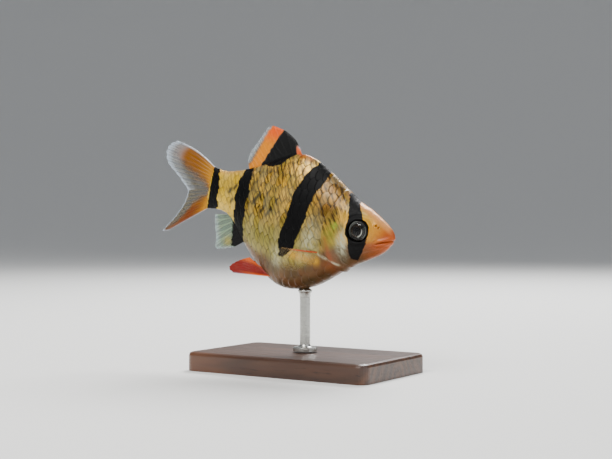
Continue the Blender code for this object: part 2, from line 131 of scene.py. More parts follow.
def ridge(distance: Array, width: float | Array) -> Array:
    """A rounded ridge of height 1, `width` wide on each side."""
    return np.exp(-((distance / width) ** 2))


def ease(value: Array, start: float, end: float) -> Array:
    """0 at start and 1 at end, turning smoothly between; start may be the larger."""
    share = np.clip((value - start) / (end - start), 0.0, 1.0)
    return share * share * (3 - 2 * share)


@dataclass
class Ripple:
    """Smooth seeded noise over the side of the fish, made of a few waves.

    Args:
        seed: picks the waves.
        wavelength: mean length of a wave, in millimetres.
        waves: how many are added.
    """

    seed: int
    wavelength: float
    waves: int = 14
    pushes: Array = field(init=False)
    phases: Array = field(init=False)

    def __post_init__(self) -> None:
        """Draws the waves."""
        draw = np.random.default_rng(self.seed)
        angles = draw.uniform(0, 2 * math.pi, self.waves)
        speeds = 2 * math.pi / (self.wavelength * draw.uniform(0.6, 1.6, self.waves))
        self.pushes = np.stack([np.cos(angles), np.sin(angles)], axis=1) * speeds[:, None]
        self.phases = draw.uniform(0, 2 * math.pi, self.waves)

    def __call__(self, along: Array, height: Array) -> Array:
        """Reads the noise.

        Args:
            along: distances from the snout.
            height: heights in the fish's frame.

        Returns:
            Noise of about -1 to 1.
        """
        total = 0.0 * (along + height)
        for (by_along, by_height), phase in zip(self.pushes, self.phases):
            total = total + np.sin(by_along * along + by_height * height + phase)
        return total * math.sqrt(2 / self.waves) * 0.6


@dataclass(frozen=True)
class Pose:
    """Where the fish's own frame stands over the stand."""

    snout: tuple[float, float, float] = (21.5, 0.0, 28.0)
    nose_down: float = math.radians(13.7)

    def to_world(self, points: Array) -> Array:
        """Turns points of the fish's frame into metres in the world.

        Args:
            points: (..., 3) in millimetres.

        Returns:
            The same points in metres.
        """
        cos, sin = math.cos(self.nose_down), math.sin(self.nose_down)
        x, y, z = points[..., 0], points[..., 1], points[..., 2]
        turned = np.stack([x * cos + z * sin, y, z * cos - x * sin], axis=-1)
        return (turned + np.array(self.snout)) * MM


POSE = Pose()


class Mesh:
    """A mesh piece made from arrays, with the values its finish reads."""

    def __init__(self, name: str, points: Array, faces: Array) -> None:
        """Makes the object.

        Args:
            name: the piece's name.
            points: (count, 3) in metres.
            faces: (count, corners) of point numbers.
        """
        data = bpy.data.meshes.new(name)
        corners = faces.shape[1]
        data.vertices.add(len(points))
        data.vertices.foreach_set("co", np.ascontiguousarray(points, np.float32).ravel())
        data.loops.add(faces.size)
        data.loops.foreach_set("vertex_index", np.ascontiguousarray(faces, np.int32).ravel())
        data.polygons.add(len(faces))
        data.polygons.foreach_set("loop_start", np.arange(0, faces.size, corners, dtype=np.int32))
        data.update(calc_edges=True)
        data.validate()
        data.shade_smooth()
        self.data = data
        self.object = bpy.data.objects.new(name, data)
        bpy.context.scene.collection.objects.link(self.object)

    def value(self, name: str, values: Array) -> None:
        """Stores one number for each point, for the finish to read."""
        layer = self.data.attributes.new(name, "FLOAT", "POINT")
        layer.data.foreach_set("value", np.ascontiguousarray(values, np.float32).ravel())

    def vector(self, name: str, values: Array) -> None:
        """Stores three numbers for each point, for the finish to read."""
        layer = self.data.attributes.new(name, "FLOAT_VECTOR", "POINT")
        layer.data.foreach_set("vector", np.ascontiguousarray(values, np.float32).ravel())

    def unwrap(self, uv: Array) -> None:
        """Stores a UV map named OFBake from one (u, v) for each point.

        Args:
            uv: (count, 2) places on the map.
        """
        layer = self.data.uv_layers.new(name="OFBake")
        corners = np.empty(len(self.data.loops), np.int32)
        self.data.loops.foreach_get("vertex_index", corners)
        layer.uv.foreach_set("vector", np.ascontiguousarray(uv[corners], np.float32).ravel())

    def finish(self, material: Material, slot: str, *replaced: str) -> Object:
        """Dresses the piece and puts it on the body.

        Args:
            material: its finish.
            slot: the record's material slot, not used.
            replaced: the solids that it stands for.

        Returns:
            The finished object.
        """
        self.data.materials.append(material)
        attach(self.object, BODY)
        if replaced:
            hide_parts(*replaced)
        return self.object


def grid_faces(rows: int, columns: int, closed: bool = False) -> Array:
    """Numbers the four corners of each cell of a grid of points.

    Args:
        rows: rows of points.
        columns: points in each row, which are numbered first.
        closed: joins the last column to the first.

    Returns:
        (cells, 4) point numbers.
    """
    row = np.arange(rows - 1)[:, None]
    column = np.arange(columns if closed else columns - 1)[None, :]
    following = (column + 1) % columns
    corners = (
        row * columns + column,
        (row + 1) * columns + column,
        (row + 1) * columns + following,
        row * columns + following,
    )
    return np.stack([corner.ravel() for corner in corners], axis=1)


def turned(reach: Array, level: Array, spokes: int) -> Array:
    """Turns a profile about the world's upright axis.

    Args:
        reach: distances from the axis.
        level: heights.
        spokes: points round each ring.

    Returns:
        (rings * spokes, 3) points, ring by ring.
    """
    angle = np.linspace(0, 2 * math.pi, spokes, endpoint=False)[None, :]
    reach, level = reach[:, None], level[:, None]
    rings = np.stack([reach * np.cos(angle), reach * np.sin(angle), level + 0 * angle], axis=-1)
    return rings.reshape(-1, 3)


def sheet_rim(rows: int, columns: int) -> Array:
    """Point numbers round the edge of a grid of points, once about."""
    numbers = np.arange(rows * columns).reshape(rows, columns)
    return np.concatenate([numbers[0, :-1], numbers[:-1, -1], numbers[-1, :0:-1], numbers[:0:-1, 0]])


def two_discs(rings: int, spokes: int) -> Array:
    """Faces of two round grids of points, one in front of the other and facing away from it."""
    cells = grid_faces(rings, spokes, closed=True)
    return np.concatenate([cells, cells[:, ::-1] + rings * spokes])


def closed_sheet(top: Array, bottom: Array) -> tuple[Array, Array]:
    """Joins like grids of points in pairs into closed plates.

    Args:
        top: (rows, columns, 3) points of the face that the cells of grid_faces turn outwards, or a
            stack of such grids.
        bottom: the same for the other face.

    Returns:
        The points, plate by plate, and the four-cornered faces.
    """
    rows, columns = top.shape[-3:-1]
    count = rows * columns
    cells = grid_faces(rows, columns)
    rim = sheet_rim(rows, columns)
    following = np.roll(rim, -1)
    edge = np.stack([rim, following, following + count, rim + count], axis=1)
    faces = np.concatenate([cells, cells[:, ::-1] + count, edge])
    points = np.concatenate([top.reshape(-1, count, 3), bottom.reshape(-1, count, 3)], axis=1)
    starts = 2 * count * np.arange(len(points))[:, None, None]
    return points.reshape(-1, 3), (faces + starts).reshape(-1, 4)


def surface_normals(points: Array) -> Array:
    """Unit normals of a (rows, columns, 3) grid, each across its row's and its column's direction."""
    normals = np.cross(np.gradient(points, axis=0), np.gradient(points, axis=1))
    return normals / (np.linalg.norm(normals, axis=2, keepdims=True) + 1e-12)


@dataclass
class Shape:
    """The plain body without fins, face or scales, as in the solids."""

    length: float = 48.0
    back_line: Points = (
        (0.0, 0.0), (0.4, 1.05), (1.4, 2.0), (3.7, 3.3), (6.6, 4.6), (10.2, 6.0), (13.3, 7.8), (17.1, 9.9),
        (21.5, 11.8), (25.0, 12.4), (29.0, 11.3), (33.0, 9.2), (37.0, 7.1), (41.0, 5.5), (44.5, 4.6),
        (48.0, 4.8),
    )
    belly_line: Points = (
        (0.0, 0.0), (0.4, -1.3), (1.2, -2.6), (4.4, -5.3), (9.6, -9.0), (13.0, -12.0), (16.6, -14.6),
        (20.5, -16.1), (24.5, -16.4), (28.5, -15.1), (33.0, -12.3), (36.5, -9.3), (39.5, -6.3), (42.0, -4.7),
        (45.0, -4.3), (48.0, -4.8),
    )
    half_width: Points = (
        (0.0, 0.0), (0.4, 0.85), (1.5, 1.6), (4.0, 2.6), (7.0, 3.4), (11.0, 4.3), (15.0, 4.9), (20.0, 5.2),
        (25.0, 5.0), (31.0, 4.0), (37.0, 2.8), (42.0, 1.9), (45.5, 1.35), (48.0, 0.8),
    )
    widest_level: Points = (
        (0.0, 0.0), (2.0, -0.5), (7.0, -1.0), (14.0, -3.6), (21.0, -5.2), (28.0, -4.2), (36.0, -0.9),
        (42.0, 0.3), (48.0, 0.1),
    )
    crest_pinch: Points = ((0.0, 1.0), (7.0, 0.95), (14.0, 1.1), (24.0, 1.3), (36.0, 1.2), (48.0, 1.0))
    keel_pinch: Points = (
        (0.0, 1.0), (7.0, 0.95), (14.0, 0.85), (24.0, 0.8), (32.0, 1.05), (38.0, 1.15), (48.0, 1.0),
    )
    back: Reader = field(init=False)
    belly: Reader = field(init=False)
    width: Reader = field(init=False)
    widest: Reader = field(init=False)
    crest: Reader = field(init=False)
    keel: Reader = field(init=False)

    def __post_init__(self) -> None:
        """Fits the curves."""
        self.back = spline(self.back_line, root_of)
        self.belly = spline(self.belly_line, root_of)
        self.width = spline(self.half_width, root_of)
        self.widest = spline(self.widest_level)
        self.crest = spline(self.crest_pinch)
        self.keel = spline(self.keel_pinch)

    def surface(self, along: Array, turn: Array) -> Array:
        """Points of the plain body.

        Args:
            along: distances from the snout.
            turn: angles about the body, 0 at the back, a quarter turn on the left side.

        Returns:
            (..., 3) points in the fish's frame.
        """
        up, out = np.cos(turn), np.sin(turn)
        above = up > 0
        widest = self.widest(along)
        reach = np.where(above, self.back(along) - widest, widest - self.belly(along))
        pinch = np.where(above, self.crest(along), self.keel(along))
        y = np.sign(out) * self.width(along) * np.abs(out) ** pinch
        return np.stack([-along + 0 * y, y, widest + up * reach], axis=-1)

    def normal(self, along: Array, turn: Array) -> Array:
        """Unit normals of the plain body, outwards, by small steps along and about it.

        Args:
            along: distances from the snout.
            turn: angles about the body, 0 at the back.

        Returns:
            (..., 3) unit vectors.
        """
        step = 0.04
        ahead = self.surface(np.clip(along + step, 0.02, self.length), turn)
        behind = self.surface(np.clip(along - step, 0.02, self.length), turn)
        onward = self.surface(along, turn + 0.01)
        backward = self.surface(along, turn - 0.01)
        normal = np.cross(onward - backward, ahead - behind)
        return normal / (np.linalg.norm(normal, axis=-1, keepdims=True) + 1e-12)


@dataclass
class Face:
    """Everything that stands out of the plain head or is cut into it, sized in millimetres."""

    eye_along: float = 7.0
    eye_height: float = 0.0
    orbit_radius: float = 2.22
    mouth_drop: float = 0.42
    mouth_slope: float = 0.42
    mouth_end: float = 2.7
    nostrils: Points = ((3.15, 1.55, 0.2), (3.75, 1.85, 0.28))
    gill_line: Points = (
        (-14.0, 6.6), (-9.6, 9.4), (-7.9, 11.2), (-6.0, 12.9), (-2.7, 14.2), (1.0, 14.3), (4.0, 13.6),
        (9.0, 12.2), (13.0, 11.4),
    )
    cheek_line: Points = ((-9.0, 5.6), (-7.9, 8.2), (-6.0, 9.6), (-2.7, 10.3), (1.0, 10.3), (3.6, 10.9))
    gill: Reader = field(init=False)
    cheek: Reader = field(init=False)

    def __post_init__(self) -> None:
        """Fits the curves of the gill cover."""
        self.gill = spline(self.gill_line)
        self.cheek = spline(self.cheek_line)

    def from_eye(self, along: Array, height: Array) -> Array:
        """Distance from the middle of the eye, seen from the side."""
        return np.hypot(along - self.eye_along, height - self.eye_height)

    def from_mouth(self, along: Array, height: Array) -> Array:
        """Height above the line of the mouth, which droops towards its corner."""
        sag = 0.16 * ease(along, self.mouth_end - 1.2, self.mouth_end + 0.6)
        return height + self.mouth_drop + self.mouth_slope * along + sag

    def eye_relief(self, along: Array, height: Array) -> Array:
        """The rim of the eye, the furrow round it and the socket.

        Args:
            along: distances from the snout.
            height: heights in the fish's frame.

        Returns:
            Millimetres outwards.
        """
        away = self.from_eye(along, height)
        rim = 0.2 * ridge(away - self.orbit_radius - 0.3, 0.26)
        furrow = -0.09 * ridge(away - self.orbit_radius - 0.95, 0.22)
        socket = -1.5 * ease(away, self.orbit_radius + 0.06, self.orbit_radius - 0.22)
        return rim + furrow + socket

    def mouth_relief(self, along: Array, height: Array) -> Array:
        """Lips, the line between them and the folds at the corner of the mouth.

        Args:
            along: distances from the snout.
            height: heights in the fish's frame.

        Returns:
            Millimetres outwards.
        """
        above = self.from_mouth(along, height)
        near = 1 - ease(along, self.mouth_end - 0.5, self.mouth_end + 0.5)
        lips = 0.26 * ridge(above - 0.46, 0.3) + 0.22 * ridge(above + 0.46, 0.3)
        slit = -0.34 * ridge(above, 0.12) * (1 - ease(along, self.mouth_end - 0.1, self.mouth_end + 0.5))
        lip_folds = -0.1 * (ridge(above - 1.0, 0.16) + ridge(above + 1.0, 0.16)) * near
        drop = height + self.mouth_drop + self.mouth_slope * self.mouth_end
        corner = np.hypot(along - self.mouth_end - 0.35, drop + 0.25)
        fold = -0.12 * ridge(corner - 0.62, 0.16) * ease(along, self.mouth_end - 0.2, self.mouth_end + 0.4)
        jaw = height + 2.6 + 0.62 * (along - 3.0)
        jaw_line = -0.07 * ridge(jaw, 0.2) * ease(along, 3.0, 4.2) * (1 - ease(along, 7.4, 9.0))
        at_tip = 0.15 + 0.85 * ease(along, 0.05, 1.4)
        return (lips * near + lip_folds) * at_tip + slit * (0.6 + 0.4 * at_tip) + fold + jaw_line

    def nostril_relief(self, along: Array, height: Array) -> Array:
        """The two openings of each nostril, with a raised flap between them.

        Args:
            along: distances from the snout.
            height: heights in the fish's frame.

        Returns:
            Millimetres outwards.
        """
        relief = 0.0 * along
        for place, level, radius in self.nostrils:
            away = np.hypot(along - place, height - level)
            relief = relief - 0.36 * ease(away, radius, 0.35 * radius)
            relief = relief + 0.1 * ridge(away - radius - 0.08, 0.12)
        return relief

    def gill_relief(self, along: Array, height: Array) -> Array:
        """The gill cover's plate, its free edge and the bones that show through the cheek.

        Args:
            along: distances from the snout.
            height: heights in the fish's frame.

        Returns:
            Millimetres outwards.
        """
        before_gill = self.gill(height) - along
        within = ease(height, -11.5, -8.0) * (1 - ease(height, 2.6, 5.0))
        plate = 0.32 * (1 - ease(before_gill, 0.05, 2.2)) * ease(before_gill, -0.12, 0.08)
        slot = -0.3 * ridge(before_gill + 0.22, 0.16)
        skirt = 0.1 * ridge(before_gill - 0.16, 0.16)
        cheek = along - self.cheek(height)
        on_cheek = ease(height, -9.0, -7.6) * (1 - ease(height, 2.4, 3.6))
        preopercle = -0.16 * ridge(cheek, 0.17) + 0.09 * ridge(cheek + 0.38, 0.24)
        under = np.hypot(along - self.eye_along, (height - self.eye_height) * 0.92)
        cheekbone = -0.05 * ridge(under - 3.9, 0.14) * ease(-height, 0.0, 1.4)
        ribs = 0.03 * np.sin(3.1 * (along - 0.35 * height)) * ease(before_gill, 0.4, 1.2)
        ribs = ribs * (1 - ease(before_gill, 2.6, 3.6)) * on_cheek
        return (plate + slot + skirt) * within + preopercle * on_cheek + cheekbone + ribs

    def relief(self, along: Array, height: Array) -> Array:
        """How far the head's surface stands out of the plain body, in millimetres."""
        parts = (self.eye_relief, self.mouth_relief, self.nostril_relief, self.gill_relief)
        return sum(part(along, height) for part in parts) * (1 - ease(along, 15.4, 16.0))

    def scaled(self, along: Array, height: Array) -> Array:
        """1 where the body bears scales and 0 on the bare head."""
        return ease(along - self.gill(height), -0.1, 0.5)


SHAPE = Shape()
FACE = Face()


@dataclass(frozen=True)
class Bar:
    """One black bar: (height, front edge, rear edge) rows from its top down, in millimetres."""

    rows: Points
    soft: float = 0.22

    def cover(self, along: Array, height: Array) -> Array:
        """How much of the colour is the bar's.

        Args:
            along: distances from the snout.
            height: heights in the fish's frame.

        Returns:
            1 inside the bar and 0 outside it.
        """
        rising = self.rows[::-1]
        front = spline([(row[0], row[1]) for row in rising])(height)
        rear = spline([(row[0], row[2]) for row in rising])(height)
        inside = np.minimum(along - front, rear - along)
        inside = np.minimum(inside, np.minimum(self.rows[0][0] - height, height - self.rows[-1][0]))
        return ease(inside, -self.soft, self.soft)


@dataclass(frozen=True)
class Dash:
    """A short dark stroke on the flank, leaning forwards at its top."""

    along: float
    height: float
    half_length: float
    half_width: float
    lean: float = math.radians(28)
    strength: float = 1.4

    def cover(self, along: Array, height: Array) -> Array:
        """How much of the colour is the stroke's.

        Args:
            along: distances from the snout.
            height: heights in the fish's frame.

        Returns:
            1 in its middle, falling to 0 outside it.
        """
        back, up = along - self.along, height - self.height
        across = back * math.cos(self.lean) + up * math.sin(self.lean)
        lengthwise = up * math.cos(self.lean) - back * math.sin(self.lean)
        fall = (across / self.half_width) ** 2 + (lengthwise / self.half_length) ** 4
        return np.minimum(1.0, self.strength * np.exp(-fall))


@dataclass(frozen=True)
class Patch:
    """A soft oval patch of colour, in millimetres.

    Args:
        along: distance of its middle from the snout.
        height: height of its middle.
        radius: its reach along the body.
        squash: its length over its height.
        strength: its share of the colour at its middle.
        lean: how far it leans back for each millimetre of height.
    """

    along: float
    height: float
    radius: float
    squash: float = 1.0
    strength: float = 1.0
    lean: float = 0.0

    def cover(self, along: Array, height: Array) -> Array:
        """How much of the colour is the patch's.

        Args:
            along: distances from the snout.
            height: heights in the fish's frame.

        Returns:
            Shares from 0 to the patch's strength.
        """
        up = height - self.height
        away = np.hypot(along - self.along - self.lean * up, up * self.squash)
        return self.strength * ridge(away, self.radius)


@dataclass
class Markings:
    """The fish's colours as shares from 0 to 1, alike on its skin and its scales."""

    bars: tuple[Bar, ...] = (
        Bar((
            (7.6, 11.3, 12.4), (6.0, 9.8, 11.4), (4.7, 8.4, 10.6), (3.3, 7.2, 10.0), (1.9, 6.0, 9.6),
            (0.3, 5.0, 9.4), (-1.2, 4.7, 8.9), (-2.9, 5.0, 8.4), (-4.7, 5.7, 8.1), (-6.0, 6.4, 7.6),
        )),
        Bar((
            (13.5, 17.6, 19.9), (10.7, 17.4, 20.9), (9.2, 17.2, 21.8), (7.4, 17.4, 22.4), (5.4, 18.2, 23.0),
            (2.0, 18.5, 23.2), (-1.4, 19.0, 23.4), (-5.0, 19.7, 24.0), (-6.8, 20.3, 24.0), (-7.8, 20.9, 23.7),
            (-9.4, 22.2, 23.2),
        )),
        Bar((
            (12.0, 37.4, 40.0), (6.5, 36.8, 39.4), (5.3, 36.2, 39.2), (3.6, 35.7, 39.1), (0.0, 35.4, 39.2),
            (-3.5, 35.4, 39.1), (-8.0, 35.4, 39.4), (-14.0, 35.5, 39.5),
        )),
        Bar(((8.0, 47.0, 48.6), (4.5, 46.2, 47.9), (2.8, 45.1, 47.5), (0.0, 44.6, 47.4), (-8.0, 44.8, 47.8))),
    )
    dashes: tuple[Dash, ...] = (
        Dash(30.4, -0.8, 1.2, 0.36), Dash(28.6, -1.1, 1.4, 0.38), Dash(33.3, 0.4, 1.2, 0.44),
        Dash(32.6, 1.6, 1.2, 0.34), Dash(31.7, -0.6, 0.6, 0.22), Dash(41.2, 0.9, 0.9, 0.45),
        Dash(39.9, 1.9, 0.8, 0.34), Dash(40.3, -1.2, 0.8, 0.34), Dash(27.2, 1.8, 0.8, 0.2),
        Dash(30.0, 3.0, 0.9, 0.2), Dash(25.6, -1.6, 0.7, 0.16), Dash(33.4, -3.0, 0.7, 0.16),
    )
    orbit_edge: tuple[float, float] = (2.62, 2.35)
    saddle_depth: float = 1.9
    brow: Patch = Patch(5.4, 1.9, 1.6, 0.62)
    gill_foot: Patch = Patch(11.6, -8.6, 1.5, 0.9, 0.35)
    pearls_and_belly_glint: tuple[Patch, ...] = (
        Patch(9.752, -2.9, 0.95, 0.36, 0.9, 0.12),
        Patch(17.0, -4.2, 1.6, 0.45, 0.6),
        # painted highlight: a glint on the belly, laid in the silver colour
        Patch(24.2, -9.7, 1.7, 0.7, 0.45),
    )
    glints: tuple[Patch, ...] = (Patch(12.0, -0.1, 0.62), Patch(12.3, -1.9, 1.3, 0.6, 0.3))
    browns: tuple[Patch, ...] = (
        Patch(15.0, 4.0, 3.571, 0.762),
        Patch(13.0, -4.6, 1.2, 0.5, 0.8),
        Patch(16.0, 8.0, 2.6, 0.8, 0.7),
    )
    shoulder_streaks: Patch = Patch(15.5, -1.0, 2.6, 0.5, 0.8)

    def bar(self, along: Array, height: Array) -> Array:
        """Black bars, with the ring round the eye and the saddle."""
        covers = (self.orbit, self.saddle, *(bar.cover for bar in self.bars))
        return np.maximum.reduce([cover(along, height) for cover in covers])

    def orbit(self, along: Array, height: Array) -> Array:
        """Black ring round the eye."""
        return ease(FACE.from_eye(along, height), *self.orbit_edge) * ease(along, 4.2, 5.2)

    def saddle(self, along: Array, height: Array) -> Array:
        """Black of the back under the dorsal fin."""
        deep = self.saddle_depth * ease(along, 26.6, 29.6) * (1 - ease(along, 31.0, 35.6))
        return ease(SHAPE.back(along) - height, deep + 0.25, deep - 0.25) * ease(deep, 0.1, 0.5)

    def dash(self, along: Array, height: Array) -> Array:
        """Short dark strokes."""
        return np.maximum.reduce([dash.cover(along, height) for dash in self.dashes])

    def blush(self, along: Array, height: Array) -> Array:
        """Orange red of the snout and lips, and of the back just before the dorsal fin.

        Args:
            along: distances from the snout.
            height: heights in the fish's frame.

        Returns:
            Shares from 0 to 1.
        """
        muzzle = 0.52 * ease(along + 0.2 * np.abs(height + 0.6), 8.0, 4.6)
        lips = 0.5 * ease(along + 0.3 * height, 4.4, 0.8)
        jaw = 1 - 0.42 * ease(height, -1.8, -3.6)
        snout = (muzzle + lips) * jaw * (1 - 0.5 * self.brow.cover(along, height))
        under = SHAPE.back(along) - height
        before_fin = 0.75 * ease(under, 1.5, 0.2) * ease(along, 21.5, 23.0) * (1 - ease(along, 25.8, 26.8))
        return np.clip(snout + self.gill_foot.cover(along, height) + before_fin, 0, 1)

    def rosy(self, along: Array, height: Array) -> Array:
        """Pinkish beige of the throat and belly.

        Args:
            along: distances from the snout.
            height: heights in the fish's frame.

        Returns:
            Shares from 0 to 1.
        """
        depth = (SHAPE.widest(along) - height) / (SHAPE.widest(along) - SHAPE.belly(along) + 1e-6)
        start = 0.1 + 0.26 * ease(along, 12.0, 18.0) + 0.25 * ease(along, 26.0, 34.0)
        return ease(depth, start, start + 0.26) * (1 - ease(along, 33.0, 37.0))

    def crown(self, along: Array, height: Array) -> Array:
        """Pale pink along the top of the head and the back's ridge, partly its own colour, partly a painted
        highlight.

        Args:
            along: distances from the snout.
            height: heights in the fish's frame.

        Returns:
            Shares from 0 to 1.
        """
        under = SHAPE.back(along) - height
        head = 0.9 * (1 - ease(along, 10.0, 13.0)) * ease(along, 0.3, 1.8)
        return ease(under, 1.3, 0.2) * (head + 0.4 * ease(along, 36.0, 40.0))

    def silver(self, along: Array, height: Array) -> Array:
        """Pearly cheek and gill cover, behind and below the eye, a bright fold under them and a painted belly
        highlight.

        Args:
            along: distances from the snout.
            height: heights in the fish's frame.

        Returns:
            Shares from 0 to 1.
        """
        level = height + 6.9 + 0.28 * (13.6 - along)
        fold = 0.8 * ridge(level, 0.2) * ease(along, 9.4, 10.2) * (1 - ease(along, 13.8, 14.8))
        return np.clip(sum(patch.cover(along, height) for patch in self.pearls_and_belly_glint) + fold, 0, 1)

    def green(self, along: Array, height: Array) -> Array:
        """Yellow green glint at the top of the gill cover."""
        return np.clip(sum(patch.cover(along, height) for patch in self.glints), 0, 1)

    def ember(self, along: Array, height: Array) -> Array:
        """Orange red streak down the gill cover."""
        across = along - 12.3 - 0.45 * (height + 5.2)
        return 0.26 * ridge(across, 0.42) * ease(height, -8.2, -6.4) * (1 - ease(height, -3.4, -2.0))

    def glow(self, along: Array, height: Array) -> Array:
        """Yellow behind and below the root of the pectoral fin, and before the eye."""
        behind = 0.85 * ridge(height + 8.2, 0.9) * ease(along, 13.2, 14.6) * (1 - ease(along, 20.0, 23.0))
        return np.clip(behind + 0.85 * self.brow.cover(along, height), 0, 1)

    def pale(self, along: Array, height: Array) -> Array:
        """Lighter yellow of the lower flank."""
        return ease(height, 3.0, -7.0) * ease(along, 12.0, 15.0)

    def streaky(self, along: Array, height: Array) -> Array:
        """Where dark strokes lie over the gold: strong on the upper flank, faint below and on the head.

        Args:
            along: distances from the snout.
            height: heights in the fish's frame.

        Returns:
            Shares from 0 to 1.
        """
        bare_head = 0.8 * ease(height, 0.5, -4.0) * ease(along, 15.0, 13.0)
        upper = (0.48 + 0.52 * ease(height, -8.0, 1.0)) * (1 - bare_head)
        upper = np.maximum(upper, self.shoulder_streaks.cover(along, height))
        return upper * (0.12 + 0.88 * ease(along, 9.6, 11.5)) * (1 - 0.55 * ease(along, 37.0, 40.0))

    def brown(self, along: Array, height: Array) -> Array:
        """Brownish cast of the shoulder behind the first bar, and of the back."""
        back = 0.15 * ease(height, 2.0, 9.0)
        return np.clip(sum(patch.cover(along, height) for patch in self.browns) + back, 0, 1)

    def bright(self, along: Array, height: Array) -> Array:
        """Bright yellow of the tail stem."""
        return ease(along, 37.4, 40.5)

    def write(self, piece: Mesh, along: Array, height: Array, marked: Array) -> None:
        """Stores every share on a piece.

        Args:
            piece: skin or scales.
            along: distance of each point from the snout.
            height: height of each point.
            marked: the distance at which the bars are read, which may step from scale to scale.
        """
        piece.value("bar", self.bar(marked, height))
        piece.value("dash", self.dash(along, height))
        shares = (
            self.blush, self.rosy, self.crown, self.silver, self.green, self.ember, self.glow, self.pale,
            self.brown, self.bright, self.streaky,
        )
        for share in shares:
            piece.value(share.__name__, share(along, height))


MARKINGS = Markings()


class Bench:
    """A material being put together, with short calls for its nodes."""

    def __init__(self, name: str) -> None:
        """Starts from a plain Principled shader.

        Args:
            name: the material's name.
        """
        self.material = bpy.data.materials.new(name)
        self.material.use_nodes = True
        self.tree = self.material.node_tree
        self.shader = self.tree.nodes["Principled BSDF"]

    def add(self, kind: str, inputs: dict[str | int, object], **settings: object) -> Node:
        """Adds a node.

        Args:
            kind: Blender's name for it.
            inputs: what its sockets get, each a socket, number or colour.
            settings: its other properties.

        Returns:
            The node.
        """
        node = self.tree.nodes.new(kind)
        for name, value in settings.items():
            setattr(node, name, value)
        for key, value in inputs.items():
            self.feed(node.inputs[key], value)
        return node

    def feed(self, target: Socket, value: object) -> None:
        """Links a socket, or sets it to a number or a colour.

        Args:
            target: the socket.
            value: what it gets.
        """
        if isinstance(value, Socket):
            self.tree.links.new(value, target)
        elif isinstance(value, tuple) and len(value) == 3 and target.type == "RGBA":
            target.default_value = linear(value)
        else:
            target.default_value = value

    def mark(self, name: str) -> Socket:
        """Reads one number stored on the piece."""
        return self.add("ShaderNodeAttribute", {}, attribute_name=name).outputs["Fac"]

    def place(self, name: str = "place") -> Socket:
        """Reads three numbers stored on the piece."""
        return self.add("ShaderNodeAttribute", {}, attribute_name=name).outputs["Vector"]

    def math(self, operation: str, first: object, second: object = 0.5, clamp: bool = False) -> Socket:
        """Adds one step of arithmetic."""
        inputs = {0: first, 1: second}
        return self.add("ShaderNodeMath", inputs, operation=operation, use_clamp=clamp).outputs[0]

    def times(self, *factors: object) -> Socket:
        """Multiplies numbers."""
        return functools.reduce(functools.partial(self.math, "MULTIPLY"), factors)

    def plus(self, first: object, second: object, clamp: bool = False) -> Socket:
        """Adds two numbers."""
        return self.math("ADD", first, second, clamp)

    def mix(self, share: object, below: object, above: object, blend: str = "MIX") -> Socket:
        """Lays a colour over another."""
        inputs = {"Factor": share, 6: below, 7: above}
        return self.add("ShaderNodeMix", inputs, data_type="RGBA", blend_type=blend).outputs[2]

    def layered(self, ground: object, *layers: tuple[object, object]) -> Socket:
        """Lays colours over each other.

        Args:
            ground: the lowest colour.
            layers: (share, colour) from the lowest up.

        Returns:
            The colour on top.
        """
        for share, colour in layers:
            ground = self.mix(share, ground, colour)
        return ground

    def stretch(self, vector: object, scale: tuple[float, float, float], turn: float = 0.0) -> Socket:
        """Stretches and turns a place in the plane of the fish's side."""
        inputs = {"Vector": vector, "Scale": scale, "Rotation": (0.0, turn, 0.0)}
        return self.add("ShaderNodeMapping", inputs, vector_type="TEXTURE").outputs[0]

    def noise(self, vector: object, scale: float, detail: float = 2.0, rough: float = 0.5) -> Socket:
        """Cloudy noise from 0 to 1."""
        inputs = {"Vector": vector, "Scale": scale, "Detail": detail, "Roughness": rough}
        return self.add("ShaderNodeTexNoise", inputs).outputs[0]

    def waves(self, vector: object, kind: str, **inputs: float) -> Socket:
        """Wavy BANDS or RINGS from 0 to 1; the node's inputs are named with underscores."""
        inputs = {name.replace("_", " "): value for name, value in inputs.items()} | {"Vector": vector}
        return self.add("ShaderNodeTexWave", inputs, wave_type=kind).outputs["Fac"]

    def span(self, value: object, low: float, high: float, first: float = 0.0, last: float = 1.0) -> Socket:
        """Carries a range of numbers over to another, smoothly and without overshoot."""
        inputs = {"Value": value, "From Min": low, "From Max": high, "To Min": first, "To Max": last}
        return self.add("ShaderNodeMapRange", inputs, interpolation_type="SMOOTHSTEP").outputs[0]

    def bump(self, height: object, depth: float, strength: float = 1.0) -> None:
        """Raises the surface.

        Args:
            height: a height from 0 to 1.
            depth: the most that it rises, in millimetres.
            strength: how fully it shows.
        """
        normal = self.shader.inputs["Normal"]
        inputs = {"Strength": strength, "Distance": depth * MM, "Height": height}
        if normal.is_linked:
            inputs["Normal"] = normal.links[0].from_socket
        self.feed(normal, self.add("ShaderNodeBump", inputs).outputs[0])

    def set(self, **values: object) -> None:
        """Sets or links the shader's sockets, named with underscores for spaces."""
        for name, value in values.items():
            self.feed(self.shader.inputs[name.replace("_", " ")], value)


@dataclass(frozen=True)
class Strokes:
    """A layer of cloudy strokes that lie along the rows of scales.

    Args:
        stretch: how long they are drawn out on each axis, in millimetres.
        detail: octaves of finer noise.
        rough: strength of the finer noise.
        low: noise at which a stroke starts.
        high: noise at which it is full.
        scale: strokes in each stretch.
    """

    stretch: tuple[float, float, float]
    detail: float
    rough: float
    low: float
    high: float
    scale: float = 1.0

    def share(self, bench: Bench, turn: float) -> Socket:
        """Where the strokes are, from 0 to 1."""
        stretched = bench.stretch(bench.place(), self.stretch, turn)
        return bench.span(bench.noise(stretched, self.scale, self.detail, self.rough), self.low, self.high)


